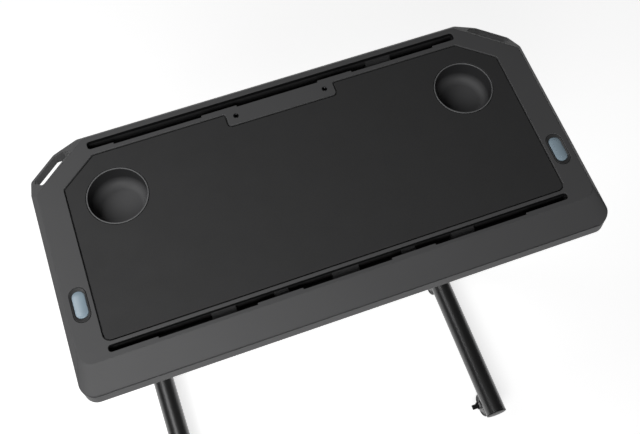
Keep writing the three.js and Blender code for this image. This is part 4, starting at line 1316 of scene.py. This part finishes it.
def make_fork(name, side, brake_side):
    """Caster fork: a stem, a round top plate, and two raked legs pressed from plate, ears for a brake."""
    x = side * leg_x
    y, z = middle("caster_wheel_" + name)[1:]
    under_stem = shift(x, y - caster_trail, 0)
    under = box("caster_socket_" + name)[0][2] - fit - fork_thickness
    top = under + fork_thickness
    tip = box("caster_fork_" + name)[1][2]
    inner = wheel_width / 2 + fork_side_gap
    outer = inner + fork_thickness
    plate = rounded([
        (0, under, 0),
        (fork_plate_radius, under, fork_edge_round),
        (fork_plate_radius, top, fork_edge_round),
        (stem_radius, top, fit),
        (stem_radius, tip, stem_tip_round),
        (0, tip, 0),
    ])
    fork = piece("fork_" + name, moved(turned(plate, tube_columns), under_stem))
    bridge = rectangle((-outer, -fork_rake_run), (outer, fork_rake_run), fork_edge_round)
    parts = [piece("bridge", slab(bridge, under, top, fork_edge_round, under_stem))]
    foot = z - fork_leg_radius
    back = caster_trail + fork_leg_radius
    leg = [
        (-fork_rake_run, top - fork_edge_round, fork_shoulder_round),
        (caster_trail - fork_leg_radius, foot, fork_leg_radius),
        (back, foot, fork_leg_radius * nose_round_share),
        (back, brake_height + brake_ear_height / 2, fork_back_round),
        (fork_rake_run, top - fork_edge_round, fork_shoulder_round),
    ]
    for low in (-outer, inner):
        form = slab(leg, low, low + fork_thickness, fork_edge_round, under_stem @ side_view)
        parts.append(piece("leg", form))
    reach = outer + overrun
    cuts = [piece("axle_hole", cylinder(axle_radius + fit, -reach, reach, shift(x, y, z) @ side_view))]
    if brake_side:
        pin_x = brake_side * (outer + brake_pin_setback)
        ear_end = brake_side * (outer + brake_pin_setback + brake_pin_radius + brake_ear)
        half = brake_ear_height / 2
        x0, x1 = sorted((brake_side * inner, ear_end))
        rounds = (brake_ear_round, half - brake_ear_round)[::brake_side]
        ear = rectangle((x0, brake_height - half), (x1, brake_height + half), rounds)
        for end in (-1, 1):
            near = -end * (brake_width / 2 + fit)
            low, high = sorted((near, near - end * brake_ear))
            parts.append(piece("ear", slab(ear, low, high, fit, shift(x, y, 0) @ front_view)))
        reach = brake_width / 2 + 2 * brake_ear
        pin_hole = cylinder(brake_pin_radius + fit, -reach, reach,
                            shift(x + pin_x, y, brake_height) @ front_view, small_columns)
        cuts.append(piece("pin_hole", pin_hole))
    carved(fork, *parts, operation="UNION")
    finished(carved(fork, *cuts), fork_finish, "caster_fork", "swivel_" + name, "caster_fork_" + name)


def make_brake(letter, side):
    """Brake lever: a round-nosed paddle on a cross pin."""
    node = "brake_lever_" + letter
    outer = wheel_width / 2 + fork_side_gap + fork_thickness
    place = shift(side * (leg_x - outer - brake_pin_setback), middle(node)[1], brake_height) @ front_view
    half = brake_thickness / 2
    x0, x1 = sorted((side * half, side * (brake_pin_setback - brake_reach)))
    paddle = rectangle((x0, -half), (x1, half), half * nose_round_share)
    lever = slab(paddle, -brake_width / 2, brake_width / 2, brake_edge_round, place)
    pin_end = brake_width / 2 + fit + brake_ear
    pin = piece("pin", cylinder(brake_pin_radius, -pin_end, pin_end, place, small_columns))
    finished(carved(piece("brake_paddle_" + letter, lever), pin, operation="UNION"),
             dark_finish, "dark_plastic", "brake_" + letter, node)


make_top_shell()
make_bottom_shell()
make_mat()
make_slot_shade_liner("near_slot_shade_liner", near_slot)
make_slot_shade_liner("far_slot_shade_liner", far_slot)
make_fasteners()
make_tie()
make_crossbeam()
for letter, side in sides.items():
    make_cup(letter)
    make_bezel(letter)
    make_button(letter)
    make_insert(letter)
    make_leg(letter, side)
    make_column(letter, side)
    make_end_cap(letter, side)
    make_bracket(letter, side)
    make_brake(letter, side)
    for end, brake_side in (("front", -side), ("rear", 0)):
        make_wheel(end + "_" + letter)
        make_axle(end + "_" + letter)
        make_socket(end + "_" + letter)
        make_fork(end + "_" + letter, side, brake_side)

# Solids whose shape is right as it is
kept_finishes = {
    "near_slot_tray": tray_finish,
    "far_slot_tray": tray_finish,
}
for letter in sides:
    kept_finishes.update({
        "button_spring_" + letter: steel_finish,
        "release_rocker_" + letter: dark_finish,
        "column_bush_" + letter: dark_finish,
        "brake_shoe_" + letter: dark_finish,
        "lock_rod_" + letter: steel_finish,
    })
for node, finish in kept_finishes.items():
    for material_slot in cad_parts[node].material_slots:
        material_slot.material = finish

# Camera, from the fit of the photograph's straight edges
camera_position = (-0.198996, -0.539802, 2.335897)
camera_azimuth = np.radians(-19.9567)
camera_elevation = np.radians(65.7041)
camera_roll = np.radians(0.3158)
camera_lens = 50.2165


def make_camera():
    """Camera looking at the desk from above and from the rider's left, at the photograph's angle."""
    back = np.array([np.sin(camera_azimuth) * np.cos(camera_elevation),
                     -np.cos(camera_azimuth) * np.cos(camera_elevation), np.sin(camera_elevation)])
    level = unit(np.cross((0, 0, 1), back))
    upright = np.cross(back, level)
    right = np.cos(camera_roll) * level + np.sin(camera_roll) * upright
    turn = np.eye(4)
    turn[:3] = np.column_stack([right, np.cross(back, right), back, camera_position])
    data = bpy.data.cameras.new("camera")
    data.lens = camera_lens
    camera = bpy.data.objects.new("camera", data)
    camera.matrix_world = Matrix(turn.tolist())
    bpy.context.scene.collection.objects.link(camera)
    bpy.context.scene.camera = camera


make_camera()


def make_lamp(name, position, aim, width, radiance):
    """Square soft box that faces a point: its power is radiance * pi * area."""
    back = unit(np.array(position, float) - aim)
    level = unit(np.cross((0, 1, 0), back))
    turn = np.eye(4)
    turn[:3] = np.column_stack([level, np.cross(back, level), back, position])
    data = bpy.data.lights.new(name, "AREA")
    data.size = width
    data.energy = radiance * np.pi * width ** 2
    lamp = bpy.data.objects.new(name, data)
    lamp.matrix_world = Matrix(turn.tolist())
    lamp.visible_camera = False
    bpy.context.scene.collection.objects.link(lamp)


make_lamp("far_box", position=(-1.15, 0.4, 2.4), aim=(-0.4, 0, 1), width=1.1, radiance=4.2)
make_lamp("near_box", position=(-0.72, -1.35, 2.4), aim=(-0.35, -0.2, 1), width=1.0, radiance=8.6)

world_strength = 0.05
world = bpy.data.worlds.new("studio")
bpy.context.scene.world = world
world.use_nodes = True
background = world.node_tree.nodes["Background"].inputs
background["Color"].default_value = (1, 1, 1, 1)
background["Strength"].default_value = world_strength
bpy.context.scene.view_settings.view_transform = "Standard"

floor_reach = 6
floor_depth = 0.02
floor_glow = 0.745
floor_corners = np.array([(-1, -1), (1, -1), (1, 1), (-1, 1)]) * floor_reach * metre
floor = piece("floor", grid([ring(floor_corners, -floor_depth * metre), ring(floor_corners, 0)]))
floor.data.materials.append(pale_floor("white_paper", (0.85, 0.85, 0.85), floor_glow))
